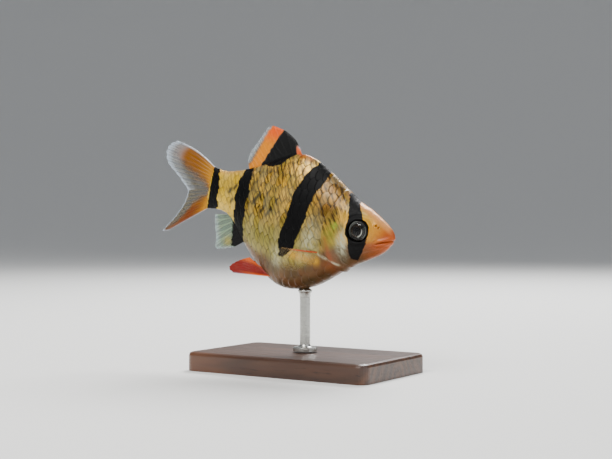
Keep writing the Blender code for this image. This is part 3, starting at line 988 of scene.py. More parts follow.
@dataclass(frozen=True)
class FleshFinish:
    """Colours of the skin and scales, as seen on a screen, and their strokes and relief."""

    gold: Colour = (0.88, 0.68, 0.21)
    streak: Colour = (0.15, 0.085, 0.03)
    pale_gold: Colour = (0.54, 0.51, 0.22)
    olive: Colour = (0.56, 0.49, 0.17)
    tail_yellow: Colour = (0.90, 0.73, 0.16)
    shoulder: Colour = (0.40, 0.25, 0.08)
    rosy: Colour = (0.43, 0.29, 0.18)
    rosy_deep: Colour = (0.31, 0.245, 0.15)
    blush: Colour = (0.66, 0.30, 0.08)
    # pale pink of the top edge, partly a painted highlight of light from above
    crown: Colour = (0.82, 0.56, 0.32)
    # pearly silver of the cheek, also laid as a painted highlight on the belly
    silver: Colour = (0.72, 0.72, 0.60)
    green: Colour = (0.58, 0.64, 0.20)
    ember: Colour = (0.72, 0.26, 0.04)
    glow: Colour = (0.78, 0.58, 0.12)
    black: Colour = (0.002, 0.002, 0.004)
    rim: Colour = (0.12, 0.07, 0.03)
    scale_light: Colour = (1.0, 0.93, 0.7)
    scale_tint: Colour = (0.95, 0.9, 0.7)
    lean: float = math.radians(-38.0)
    line_period: float = 0.95
    fine: Strokes = Strokes((0.26, 1.0, 2.0), 3.0, 0.6, 0.46, 0.66)
    broad: Strokes = Strokes((0.7, 1.0, 2.6), 2.0, 0.5, 0.42, 0.62)
    breaks: Strokes = Strokes((0.6, 1.0, 2.6), 2.0, 0.5, 0.34, 0.58)
    pearly: Strokes = Strokes((0.5, 1.0, 1.6), 3.0, 0.6, 0.36, 0.6, 1.2)
    fray: Strokes = Strokes((0.22, 1.0, 0.8), 2.0, 0.6, 0.3, 0.7)
    fray_depth: float = 0.2
    scale_focus: float = 0.35
    growth_rings: float = 70.0
    radial_grooves: float = 8.0

    def colour(self, bench: Bench) -> Socket:
        """Lays the markings over each other, without the black bars.

        Args:
            bench: the material.

        Returns:
            The colour.
        """
        place = bench.place()
        streaky = bench.mark("streaky")
        rows = bench.stretch(place, (self.line_period,) * 3, self.lean)
        bands = bench.waves(rows, "BANDS", Scale=math.pi / 10, Distortion=3.0, Detail=2.0, Detail_Scale=1.4)
        lines = bench.times(bench.span(bands, 0.4, 0.85), self.breaks.share(bench, self.lean))
        patches = self.pearly.share(bench, self.lean)
        clouds = bench.noise(place, 0.3, 2.0, 0.5)
        flecks = bench.span(bench.noise(place, 4.5, 2.0, 0.6), 0.5, 0.8)
        flesh = bench.mix(bench.span(clouds, 0.35, 0.65, 0.15, 0.85), self.rosy, self.rosy_deep)
        # pearly silver of the cheek and a painted highlight on the belly
        pearl_and_glint = bench.math("MULTIPLY", bench.mark("silver"), bench.plus(patches, 0.4), clamp=True)
        glint = bench.math("MULTIPLY", bench.mark("green"), bench.plus(patches, 0.3), clamp=True)
        return bench.layered(
            self.gold,
            (bench.span(clouds, 0.4, 0.62, 0.0, 0.85), self.olive),
            (bench.mark("pale"), self.pale_gold),
            (bench.times(bench.mark("brown"), 0.8), self.shoulder),
            (bench.times(bench.mark("bright"), 0.8), self.tail_yellow),
            (bench.times(self.broad.share(bench, self.lean), streaky, 0.35), self.shoulder),
            (bench.times(lines, streaky, 0.9), self.streak),
            (bench.times(self.fine.share(bench, self.lean), streaky, 0.85), self.streak),
            (bench.mark("rosy"), flesh),
            (bench.mark("glow"), self.glow),
            (bench.mark("ember"), self.ember),
            (pearl_and_glint, self.silver),
            (bench.mark("blush"), self.blush),
            # top edge: pale pink and a painted highlight of light from above
            (bench.mark("crown"), self.crown),
            (glint, self.green),
            (bench.times(flecks, 0.3), self.streak),
            (bench.times(bench.mark("dash"), 0.9), self.black),
        )

    def blacken(self, bench: Bench, colour: object) -> Socket:
        """Lays the black bars over a colour, with edges frayed by fine noise.

        Args:
            bench: the material.
            colour: what shows between the bars.

        Returns:
            The colour with the bars.
        """
        fray = bench.times(self.fray.share(bench, self.lean), 2 * self.fray_depth)
        share = bench.plus(bench.mark("bar"), bench.math("SUBTRACT", fray, self.fray_depth))
        return bench.mix(bench.span(share, 0.25, 0.75), colour, self.black)

    def skin(self) -> Material:
        """Bare, wet skin of the head, and what shows between scales.

        Returns:
            The material.
        """
        bench = Bench("barb_skin")
        place = bench.place()
        bar = bench.mark("bar")
        shine = bench.plus(bench.times(bench.mark("silver"), 0.45), 0.12)
        wet = bench.span(bench.noise(place, 2.2), 0.3, 0.7, 0.3, 0.46)
        bench.set(
            Base_Color=self.blacken(bench, self.colour(bench)),
            Metallic=bench.plus(shine, bench.times(bench.mark("green"), 0.3), clamp=True),
            Roughness=bench.plus(wet, bench.times(bar, 0.2)),
            Specular_IOR_Level=0.2,
            Coat_Weight=bench.span(bar, 0.2, 0.8, 0.18, 0.0),
            Coat_Roughness=0.15,
            Subsurface_Weight=0.12,
            Subsurface_Scale=0.0006,
            Subsurface_Radius=(1.0, 0.4, 0.25),
        )
        bench.bump(bench.noise(place, 7.0, 3.0, 0.6), 0.05, 0.6)
        return bench.material

    def scale_relief(self, bench: Bench, rear: Socket, across: Socket) -> tuple[Socket, Socket]:
        """Growth rings and radial grooves of a scale, about its focus near the root.

        Args:
            bench: the material.
            rear: place on the scale towards its free rim, from -1 to 1.
            across: place on the scale down the side, from -1 to 1.

        Returns:
            The rings' height and the grooves' height.
        """
        behind = bench.plus(rear, self.scale_focus)
        flat = bench.add("ShaderNodeCombineXYZ", {0: behind, 1: across}).outputs[0]
        radius = bench.add("ShaderNodeVectorMath", {0: flat}, operation="LENGTH").outputs["Value"]
        rings = bench.math("SINE", bench.times(radius, self.growth_rings))
        angle = bench.math("ARCTAN2", across, behind)
        spokes = bench.math("ABSOLUTE", bench.math("SINE", bench.times(angle, self.radial_grooves)))
        return rings, bench.math("POWER", spokes, 0.4)

    def scales(self) -> Material:
        """Glossy scales with a dark rear rim, fine growth rings and a few radial grooves.

        Returns:
            The material.
        """
        bench = Bench("barb_scales")
        split = bench.add("ShaderNodeSeparateXYZ", {0: bench.place("on_scale")})
        rear, across, chance = split.outputs
        rosy, bar = bench.mark("rosy"), bench.mark("bar")
        plain = bench.span(rosy, 0.1, 0.8, 1.0, 0.15)
        light = bench.times(bench.span(rear, -0.4, 0.55), 0.22, plain)
        rim = bench.times(bench.mark("rim"), bench.mark("streaky"), 0.62)
        colour = bench.layered(
            bench.mix(light, self.colour(bench), self.scale_light, "SOFT_LIGHT"),
            (bench.times(rim, bench.span(rosy, 0.2, 0.9, 1.0, 0.35)), self.rim),
            (bench.times(chance, 0.12, plain), self.scale_tint),
        )
        bench.set(
            Base_Color=self.blacken(bench, colour),
            Metallic=bench.span(bar, 0.3, 0.8, 0.4, 0.0),
            Roughness=bench.plus(bench.times(chance, 0.1), bench.span(bar, 0.2, 0.8, 0.3, 0.5)),
            Specular_IOR_Level=0.12,
            Coat_Weight=bench.span(bar, 0.2, 0.8, 0.14, 0.0),
            Coat_Roughness=0.15,
        )
        rings, grooves = self.scale_relief(bench, rear, across)
        bench.bump(rings, 0.005, 0.4)
        bench.bump(grooves, 0.012, 0.3)
        bench.bump(bench.noise(bench.place(), 5.0, 2.0), 0.03, 0.4)
        return bench.material


@dataclass
class Skin:
    """One skin over the head, the gill covers, the trunk and the tail stem."""

    shape: Shape
    face: Face
    head_rings: int = 240
    head_end: float = 15.6
    trunk_rings: int = 130
    points_round: int = 250
    bunching: float = 1.25
    scale_room: float = 0.15
    fine_frill: float = 0.02
    broad_frill: float = 0.05

    def stations(self) -> Array:
        """Distances from the snout of the rings, closest at its tip.

        Returns:
            The distances, one for each ring.
        """
        head = self.head_end * (np.arange(1, self.head_rings + 1) / self.head_rings) ** self.bunching
        trunk = np.linspace(self.head_end, self.shape.length - 0.05, self.trunk_rings + 1)[1:]
        return np.concatenate([head, trunk])

    def lift(self, along: Array, points: Array) -> Array:
        """How far the skin lies outside the plain body: the face's relief, less the room for scales.

        Args:
            along: distances from the snout.
            points: (..., 3) points of the plain body.

        Returns:
            Millimetres outwards.
        """
        height = points[..., 2]
        fine = Ripple(5, 1.6)(along, height) * self.fine_frill
        broad = Ripple(6, 5.0)(along, height) * self.broad_frill
        scaled = self.face.scaled(along, height)
        frill = (fine + broad) * ease(along, 2.4, 4.2) * (1 - scaled)
        return self.face.relief(along, height) + frill - self.scale_room * scaled

    def build(self) -> Mesh:
        """Makes the skin with a point at the snout and a flat end at the tail.

        Returns:
            The piece, without its finish.
        """
        along = self.stations()[:, None]
        turn = np.linspace(0, 2 * math.pi, self.points_round, endpoint=False)[None, :]
        plain = self.shape.surface(along, turn)
        lifted = plain + self.shape.normal(along, turn) * self.lift(along, plain)[..., None]
        rings, count = along.shape[0], self.points_round
        tip = lifted[0].mean(axis=0, keepdims=True)
        end = lifted[-1].mean(axis=0, keepdims=True)
        points = np.concatenate([lifted.reshape(-1, 3), tip, end])
        cells = grid_faces(rings, count, closed=True)[:, ::-1]
        first = np.arange(count)
        following = (first + 1) % count
        tip_number, last = rings * count, (rings - 1) * count
        front = np.stack([following, first, np.full(count, tip_number)], axis=1)
        rear = np.stack([first + last, following + last, np.full(count, tip_number + 1)], axis=1)
        triangles = np.concatenate([front, rear])
        faces = np.concatenate([cells[:, [0, 1, 2]], cells[:, [0, 2, 3]], triangles])
        piece = Mesh("skin", POSE.to_world(points), faces)
        along_all = -points[:, 0]
        height = points[:, 2]
        piece.vector("place", points)
        MARKINGS.write(piece, along_all, height, along_all + Ripple(11, 0.9)(along_all, height) * 0.07)
        return piece

    def dress(self, finish: FleshFinish) -> Object:
        """Builds and finishes the skin in place of the flesh."""
        nodes = ("head", "gill_cover_left", "gill_cover_right", "trunk", "tail_stem")
        return self.build().finish(finish.skin(), "head_skin", *nodes)


@dataclass
class Scales:
    """Overlapping scales in staggered rows on one side, sized in millimetres."""

    shape: Shape
    face: Face
    side: Side
    first_along: float = 10.6
    pitch: float = 1.62
    length: float = 2.9
    overlap: float = 1.42
    steps: int = 12
    row_height: Points = (
        (10.0, 2.0), (14.0, 2.35), (22.0, 2.8), (30.0, 2.6), (36.0, 2.1), (42.0, 1.75), (48.0, 1.6),
    )
    middle_row: Points = ((10.0, 1.6), (14.0, 0.6), (22.0, -1.6), (32.0, -1.5), (42.0, 0.1), (48.0, 0.1))
    root_lift: float = -0.1
    rim_lift: float = 0.13
    dome: float = 0.03
    tilt: float = 0.012
    thickness: float = 0.04
    crest_room: float = 0.5
    size_spread: float = 0.05
    place_spread: float = 0.05
    patch_half: float = 0.0015
    map_height: float = 80.0
    map_gap: float = 0.02
    rows_each_way: int = 9
    columns: int = 26
    seed: int = 40
    heights: Reader = field(init=False)
    middle: Reader = field(init=False)
    stations: Array = field(init=False)
    shares: Array = field(init=False)
    girths: Array = field(init=False)
    turn_table: Array = field(init=False)
    middle_drops: Array = field(init=False)

    def __post_init__(self) -> None:
        """Measures the girth of half the body, so that rows can be spaced over it."""
        self.heights = spline(self.row_height)
        self.middle = spline(self.middle_row)
        self.stations = np.linspace(2.0, self.shape.length, 185)
        self.shares = np.linspace(0, 1, 161)
        turns = np.linspace(0, math.pi, 241)
        points = self.shape.surface(self.stations[:, None], turns[None, :])
        steps = np.linalg.norm(np.diff(points, axis=1), axis=2)
        lengths = np.concatenate([np.zeros((len(points), 1)), np.cumsum(steps, axis=1)], axis=1)
        self.girths = lengths[:, -1]
        self.turn_table = np.stack([np.interp(self.shares * row[-1], row, turns) for row in lengths])
        lateral = self.middle(self.stations)
        level = points[:, :, 2]
        self.middle_drops = np.array([
            np.interp(-z, -row_level, row_length) for z, row_level, row_length in zip(lateral, level, lengths)
        ])

    def girth(self, along: Array) -> Array:
        """Length from the back to the keel over one side."""
        return np.interp(along, self.stations, self.girths)

    def drop(self, along: Array, row: Array) -> Array:
        """Distance over the side from the back down to a row, which may be a fraction."""
        return np.interp(along, self.stations, self.middle_drops) + row * self.heights(along)

    def turn(self, along: Array, drop: Array) -> Array:
        """The angle about the body at a distance over its side.

        Args:
            along: distances from the snout.
            drop: distances over the side from the back.

        Returns:
            Angles, 0 at the back.
        """
        place = np.interp(along, self.stations, np.arange(len(self.stations)))
        share = np.clip(drop / self.girth(along), 0, 1) * (len(self.shares) - 1)
        i = np.clip(place.astype(int), 0, len(self.stations) - 2)
        j = np.clip(share.astype(int), 0, len(self.shares) - 2)
        a, b = place - i, share - j
        table = self.turn_table
        near = table[i, j] * (1 - b) + table[i, j + 1] * b
        far = table[i + 1, j] * (1 - b) + table[i + 1, j + 1] * b
        return near * (1 - a) + far * a

    def roots(self) -> Array:
        """Middle of every scale.

        Returns:
            (scales, 2) distances from the snout and row numbers, from the tail forwards.
        """
        found = []
        for row in range(-self.rows_each_way, self.rows_each_way + 1):
            stagger = 0.5 * (row % 2)
            for column in range(self.columns):
                along = self.first_along + (column + stagger) * self.pitch
                drop = float(self.drop(along, row))
                inside = -0.25 < drop / self.heights(along) and drop < self.girth(along) + 0.2
                if along > self.shape.length - 0.5 or not inside:
                    continue
                turn = self.turn(np.array(along), np.array(drop))
                height = float(self.shape.surface(np.array(along), turn)[2])
                if along > float(self.face.gill(height)) + 0.1:
                    found.append((along, row))
        return np.array(sorted(found, reverse=True))

    def template(self) -> tuple[Array, Array]:
        """A round scale, seen from outside.

        Returns:
            Places from -1 to 1 towards the rear, and the same down the side.
        """
        line = np.linspace(-1, 1, self.steps + 1)
        p, q = np.meshgrid(line, line, indexing="ij")
        return p * np.sqrt(1 - q * q / 2), q * np.sqrt(1 - p * p / 2)

    def off_edges(self, along: Array, drop: Array) -> Array:
        """Bends distances over the side so that none quite reaches the back or the keel.

        Args:
            along: distances from the snout.
            drop: distances over the side from the back.

        Returns:
            The bent distances.
        """
        girth, room = self.girth(along), self.crest_room
        drop = np.where(drop < room, room * np.exp((drop - room) / room), drop)
        under = girth - drop
        return np.where(under < room, girth - room * np.exp((under - room) / room), drop)

    def rise(self, rear: Array, away: Array, along: Array, height: Array) -> Array:
        """How far the upper faces stand out, from their roots to their rims.

        Args:
            rear: place on the scale towards its free rim, from -1 to 1.
            away: distance from the scale's middle, 1 at its edge.
            along: distances from the snout.
            height: heights in the fish's frame.

        Returns:
            Millimetres outwards.
        """
        smooth = 1 - 0.6 * MARKINGS.rosy(along, height) - 0.35 * ease(height, 5.0, 9.0)
        rise = self.root_lift + (self.rim_lift * smooth - self.root_lift) * (rear + 1) / 2
        return rise + self.dome * (1 - away**2 - ease(away, 0.9, 1.0))

    def build(self) -> Mesh:
        """Lays all scales of the side as one mesh of closed plates.

        Returns:
            The piece, without its finish.
        """
        draw = np.random.default_rng(self.seed + self.side.value)
        rear, down = self.template()
        roots = self.roots()
        each = (len(roots), 1, 1)
        chance = draw.uniform(0, 1, each)
        size = 1 + draw.uniform(-self.size_spread, self.size_spread, each)
        shift = draw.normal(0, self.place_spread, each)
        tilt = self.tilt * draw.normal(0, 1, each) * down
        centre, row = roots.T[:, :, None, None]
        along = np.clip(centre + shift + rear * self.length / 2 * size, 9.0, self.shape.length - 0.04)
        drop = self.off_edges(along, self.drop(along, row + down * self.overlap / 2))
        turn = self.side.value * self.turn(along, drop)
        plain = self.shape.surface(along, turn)
        normal = self.shape.normal(along, turn)
        away = np.hypot(rear, down)
        rise = self.rise(rear, away, along, plain[..., 2]) + tilt - Skin.scale_room
        top = plain + normal * rise[..., None]
        points, faces = closed_sheet(top, top - normal * self.thickness)
        piece = Mesh(f"scales_{self.side.word}", POSE.to_world(points), self.side.outward(faces))

        def twice(values: Array) -> Array:
            """Gives the upper face's values to both faces, scale by scale."""
            upper = np.broadcast_to(values, along.shape).reshape(len(roots), -1)
            return np.concatenate([upper, upper], axis=1).ravel()

        piece.vector("place", points)
        piece.vector("on_scale", np.stack([twice(rear), twice(down), twice(chance)], axis=1))
        piece.value("rim", twice(ease(away, 0.72, 0.97) * ease(rear, -0.1, 0.35)))
        stepped = 0.75 * along + 0.25 * centre + 0.3 * (chance - 0.5)
        MARKINGS.write(piece, twice(along), points[:, 2], twice(stepped))
        over = self.side.value * (self.map_gap + self.drop(centre, row) / self.map_height)
        across_map = centre / self.shape.length + rear * self.patch_half
        up_map = 0.5 + over + down * self.patch_half
        piece.unwrap(np.stack([twice(across_map), twice(up_map)], axis=1))
        return piece

    def dress(self, material: Material) -> Object:
        """Builds and finishes the scales."""
        return self.build().finish(material, "scaled_skin")


@dataclass(frozen=True)
class EyeFinish:
    """Colours of the eye, as seen on a screen."""

    iris: Colour = (0.045, 0.035, 0.028)
    # silvery crescents of the eye, also the colour of the painted highlight before the pupil
    silver: Colour = (0.86, 0.88, 0.84)
    gold: Colour = (0.62, 0.46, 0.20)
    pupil: Colour = (0.004, 0.004, 0.006)

    def globe(self) -> Material:
        """Pupil, dark iris with silvery crescents fore and aft, a painted highlight by the pupil and a thin
        bright ring.

        Returns:
            The material.
        """
        bench = Bench("eye_globe")
        crescent = bench.mark("crescent")
        flecks = bench.noise(bench.place(), 6.0, 3.0, 0.7)
        colour = bench.layered(
            self.iris,
            # silvery crescents and the painted highlight crescent before the pupil
            (crescent, self.silver),
            (bench.mark("ring"), self.gold),
            (bench.span(flecks, 0.5, 0.8, 0.0, 0.4), self.iris),
            (bench.mark("pupil"), self.pupil),
        )
        metal = bench.times(crescent, 0.6)
        bench.set(Base_Color=colour, Metallic=metal, Roughness=0.4, Specular_IOR_Level=0.25)
        bench.bump(flecks, 0.02, 0.4)
        return bench.material

    def cornea(self) -> Material:
        """A clear, wet dome that adds only its gloss.

        Returns:
            The material.
        """
        bench = Bench("eye_cornea")
        bench.set(Base_Color=(0.0, 0.0, 0.0), Roughness=0.03, Specular_IOR_Level=0.4, Alpha=0.14)
        bench.set(Coat_Weight=0.3, Coat_Roughness=0.03)
        return bench.material


@dataclass
class Eye:
    """One eye: a bowl with its iris and pupil under a clear cornea."""

    face: Face
    side: Side
    radius: float = 2.15
    depth: float = 1.35
    out: float = 2.75
    pupil: float = 1.02
    rings: int = 64
    spokes: int = 120
    iris_depth: float = 0.62
    pupil_sink: float = 0.16
    silver_arcs: Points = ((1.92, 0.07, 0.5), (1.62, 0.06, 0.35))
    # painted highlight: white crescent just before the pupil, as radius and width
    glint_arc: tuple[float, float] = (1.2, 0.1)

    def disc(self) -> tuple[Array, Array]:
        """A round grid of points: their shares of the radius, and their angles."""
        angle = np.linspace(0, 2 * math.pi, self.spokes, endpoint=False)
        return tuple(np.meshgrid(np.linspace(0.0, 1.0, self.rings), angle, indexing="ij"))

    def placed(self, share: Array, angle: Array, rise: Array) -> Array:
        """Places points of the disc on the fish.

        Args:
            share: shares of the radius.
            angle: angles about the eye.
            rise: distances from its plane.

        Returns:
            (..., 3) points in the fish's frame.
        """
        x = -self.face.eye_along + share * self.radius * np.cos(angle)
        z = self.face.eye_height + share * self.radius * np.sin(angle)
        return np.stack([x, self.side.value * (self.out + rise), z], axis=-1)

    def bowl(self) -> Mesh:
        """The globe: its front is the iris with the pupil sunk in it, and it is closed behind.

        Returns:
            The piece, without its finish.
        """
        share, angle = self.disc()
        away = share * self.radius
        dome = self.depth * root_of(1 - share**2)
        iris = self.depth * self.iris_depth * root_of(1 - (share * 0.96) ** 2) + 0.1
        sunk = iris - self.pupil_sink * ease(away, self.pupil + 0.1, self.pupil - 0.12)
        front = np.minimum(sunk, dome * 0.94)
        both = [self.placed(share, angle, rise).reshape(-1, 3) for rise in (front, -0.8 * dome)]
        points = np.concatenate(both)
        faces = self.side.outward(two_discs(self.rings, self.spokes))
        piece = Mesh(f"eye_globe_{self.side.word}", POSE.to_world(points), faces)
        self.paint(piece, *(np.concatenate([values.ravel()] * 2) for values in (share, angle)))
        return piece

    def paint(self, piece: Mesh, share: Array, angle: Array) -> None:
        """Stores the crescents, with a painted highlight crescent before the pupil, the ring and the pupil on
        the globe.

        Args:
            piece: the globe.
            share: each point's share of the radius.
            angle: each point's angle about the eye.
        """
        away = share * self.radius
        ahead = np.abs(np.cos(angle)) ** 2.2
        rear = ease(-np.cos(angle + 0.25), 0.25, 0.8)
        arcs = sum(strength * ridge(away - place, width) for place, width, strength in self.silver_arcs)
        outer = arcs * np.maximum(rear, 0.4 * ease(ahead, 0.4, 0.8))
        # painted highlight: a white glint crescent on the front side of the pupil
        painted_glint = ridge(away - self.glint_arc[0], self.glint_arc[1]) * ease(np.cos(angle + 0.35), 0.5, 0.9)
        piece.value("crescent", np.clip(outer + painted_glint, 0, 1))
        piece.value("ring", 0.2 * ridge(away - self.pupil - 0.08, 0.05))
        piece.value("pupil", ease(away, self.pupil + 0.03, self.pupil - 0.03))
        points = np.empty(len(piece.data.vertices) * 3, np.float32)
        piece.data.vertices.foreach_get("co", points)
        piece.vector("place", points.reshape(-1, 3) / MM)

    def cornea(self) -> Mesh:
        """The clear dome over the globe, a thin closed shell.

        Returns:
            The piece, without its finish.
        """
        share, angle = self.disc()
        dome = self.depth * root_of(1 - share**2)
        top, under = self.placed(share, angle, dome), self.placed(share * 0.985, angle, dome * 0.97 - 0.01)
        count = self.rings * self.spokes
        rim = np.arange(count - self.spokes, count)
        following = np.roll(rim, -1)
        edge = np.stack([following, rim, rim + count, following + count], axis=1)
        faces = self.side.outward(np.concatenate([two_discs(self.rings, self.spokes), edge]))
        points = np.concatenate([top.reshape(-1, 3), under.reshape(-1, 3)])
        return Mesh(f"eye_cornea_{self.side.word}", POSE.to_world(points), faces)

    def dress(self, finish: EyeFinish) -> list[Object]:
        """Builds and finishes the globe, in place of the solid eye, and the cornea."""
        globe = self.bowl().finish(finish.globe(), "eye", f"eye_{self.side.word}")
        return [globe, self.cornea().finish(finish.cornea(), "eye")]


@dataclass(frozen=True)
class FinFinish:
    """Colours of a fin, as seen on a screen, and how clear its membrane is."""

    name: str
    web: Colour = (0.37, 0.37, 0.32)
    ray: Colour = (0.56, 0.54, 0.45)
    amber: Colour = (0.60, 0.31, 0.03)
    gold: Colour = (0.74, 0.50, 0.03)
    red: Colour = (0.78, 0.13, 0.015)
    ink: Colour = (0.003, 0.003, 0.005)
    frost: Colour = (0.78, 0.84, 0.90)
    stain: Colour = (0.45, 0.3, 0.18)
    segment: float = 0.32
    web_alpha: float = 0.4
    ray_alpha: float = 0.8

    def material(self) -> Material:
        """A thin wet membrane that lets light through between its jointed rays.

        Returns:
            The material.
        """
        bench = Bench(self.name)
        ray, ink = bench.mark("ray"), bench.mark("ink")
        amber, red = bench.mark("amber"), bench.mark("red")
        place = bench.place()
        grain = bench.noise(place, 9.0, 2.0)
        colour = bench.layered(
            self.web,
            (bench.times(ray, 0.8), self.ray),
            (amber, self.amber),
            (bench.times(bench.mark("gold"), 0.8), self.gold),
            (red, self.red),
            (bench.times(bench.mark("frost"), 0.8), self.frost),
            (bench.span(bench.noise(place, 1.1, 2.0), 0.35, 0.7, 0.0, 0.16), self.stain),
            (ink, self.ink),
        )
        body = bench.times(bench.plus(amber, red, clamp=True), 0.96)
        for solid in (bench.times(ray, self.ray_alpha), bench.times(ink, 0.98), bench.mark("solid")):
            body = bench.math("MAXIMUM", body, solid)
        joints = bench.math("SINE", bench.times(bench.mark("reach"), 2 * math.pi / self.segment))
        bench.set(
            Base_Color=colour,
            Roughness=bench.plus(bench.span(grain, 0.3, 0.7, 0.3, 0.42), bench.times(ink, 0.35)),
            Specular_IOR_Level=0.22,
            Coat_Weight=0.08,
            Coat_Roughness=0.15,
            Alpha=bench.span(body, 0.0, 1.0, self.web_alpha, 1.0),
        )
        bench.bump(bench.times(joints, ray), 0.02, 0.35)
        bench.bump(grain, 0.02, 0.4)
        return bench.material


@dataclass(frozen=True)
class Spots:
    """Points of a fin's middle surface.

    Args:
        along: distances from the snout.
        height: heights in the fish's frame.
        share: places across the fin, 0 at its first ray.
        rise: places from root to tip, 0 to 1.
    """

    along: Array
    height: Array
    share: Array
    rise: Array

    def ripple(self, seed: int, wavelength: float) -> Array:
        """Smooth noise at the points, about -1 to 1."""
        return Ripple(seed, wavelength)(self.along, self.height)


@dataclass
class Fin:
    """A fin of branching rays joined by a membrane, sized in millimetres."""

    name: str
    roots: Reader
    tips: Reader
    aside: Reader
    rays: int
    paint: Callable[[Spots], Masks]
    node: str
    slot: str
    rows: int = 72
    dense: int = 14
    web: float = 0.05
    ray_height: float = 0.11
    plain_rays: int = 2
    notch: float = 0.02
    branch_gaps: tuple[float, float] = (0.21, 0.09)
    ray_widths: tuple[float, float] = (0.13, 0.075)

    def middle(self, share: Array, rise: Array) -> Array:
        """The fin's middle surface.

        Args:
            share: (columns, 1) places across the fin, 0 at its first ray.
            rise: (1, rows) places from root to tip.

        Returns:
            (columns, rows, 3) points in the fish's frame.
        """
        flat = share[:, 0]
        start, end = self.roots(flat), self.tips(flat)
        place = share * (self.rays - 1)
        between = 1 - np.abs(2 * (place - np.floor(place)) - 1)
        short = 1 - self.notch * between * rise**6
        span = (end - start)[:, None] * (rise * short)[..., None]
        return start[:, None] + span + self.aside(share, rise)

    def ray_profile(self, share: Array, rise: Array) -> Array:
        """How much of a ray stands at each place: single at the root, then branching once and twice.

        Args:
            share: places across the fin, 0 at its first ray.
            rise: places from root to tip, 0 to 1.

        Returns:
            1 on a ray, falling to 0 between rays.
        """
        place = share * (self.rays - 1)
        off = place - np.round(place)
        simple = (np.round(place) < self.plain_rays).astype(float)
        first = self.branch_gaps[0] * ease(rise, 0.32, 1.0) * (1 - simple)
        second = self.branch_gaps[1] * ease(rise, 0.6, 1.0) * (1 - simple)
        width = self.ray_widths[0] + (self.ray_widths[1] - self.ray_widths[0]) * rise
        return ridge(np.abs(np.abs(off) - first) - second, width)

    def build(self) -> Mesh:
        """Makes the fin as one closed sheet.

        Returns:
            The piece, without its finish.
        """
        columns = (self.rays - 1) * self.dense + 1
        share = np.linspace(0, 1, columns)[:, None]
        rise = np.linspace(0, 1, self.rows)[None, :]
        middle = self.middle(share, rise)
        ray = self.ray_profile(share, rise + 0 * share)
        edge = 1 - ease(rise, 0.9, 1.0) * 0.6
        front = ridge(share * (self.rays - 1), 0.35) * 0.5
        stand = self.ray_height * (1 - 0.6 * rise) * ease(rise, 0.0, 0.2)
        half = (self.web + stand * np.clip(ray + front, 0, 1)) * edge
        normal = surface_normals(middle)
        points, faces = closed_sheet(middle + normal * half[..., None], middle - normal * half[..., None])
        piece = Mesh(self.name, POSE.to_world(points), faces)
        length = np.linalg.norm(middle[:, -1] - middle[:, 0], axis=-1)[:, None]
        masks = dict.fromkeys(("ink", "red", "amber", "gold", "frost", "solid"), 0.0)
        spots = Spots(-middle[..., 0], middle[..., 2], share + 0 * rise, rise + 0 * share)
        masks.update(self.paint(spots))
        masks.update({"ray": ray, "reach": rise * length})
        for word, values in masks.items():
            flat = np.ravel(values + 0 * ray)
            piece.value(word, np.concatenate([flat, flat]))
        piece.vector("place", points)
        return piece

    def dress(self, finish: FinFinish) -> Object:
        """Builds and finishes the fin in place of its solid."""
        return self.build().finish(finish.material(), self.slot, self.node)


def sideways(shift: Array) -> Array:
    """(..., 3) shifts along Y in the fish's frame."""
    return np.stack([0 * shift, shift, 0 * shift], axis=-1)


def outline(table: Points) -> Reader:
    """Tips of the rays in the midplane.

    Args:
        table: (share of the rays, along, height) points.

    Returns:
        A function of the share.
    """
    along = spline([(row[0], row[1]) for row in table])
    height = spline([(row[0], row[2]) for row in table])

    def read(share: Array) -> Array:
        """Points in the fish's frame."""
        return np.stack([-along(share), 0 * share, height(share)], axis=-1)

    return read


def bowed(aside: Reader, amount: float) -> Reader:
    """Bends the first rays of a fin upwards between root and tip, on top of its swing aside.

    Args:
        aside: the swing aside.
        amount: how far the first ray is bent, in millimetres.

    Returns:
        Both together.
    """

    def read(share: Array, rise: Array) -> Array:
        """Swing and bend together."""
        lift = amount * (1 - share) ** 2 * np.sin(math.pi * rise)
        return aside(share, rise) + np.stack([0 * lift, 0 * lift, lift], axis=-1)

    return read


def sway(amount: float, held_from: float = 2.0, held_at: float = 3.0) -> Reader:
    """Swings a fin on the midline aside towards its tips, with a gentle wave from ray to ray.

    Args:
        amount: how far the tips swing, in millimetres.
        held_from: where across the fin the swing fades.
        held_at: where it has faded.

    Returns:
        The swing, as a function of the place on the fin.
    """

    def read(share: Array, rise: Array) -> Array:
        """The swing aside."""
        free = 1 - ease(share, held_from, held_at)
        return sideways(amount * rise**2 * (1 + 0.25 * np.sin(2 * math.pi * share)) * free)

    return read


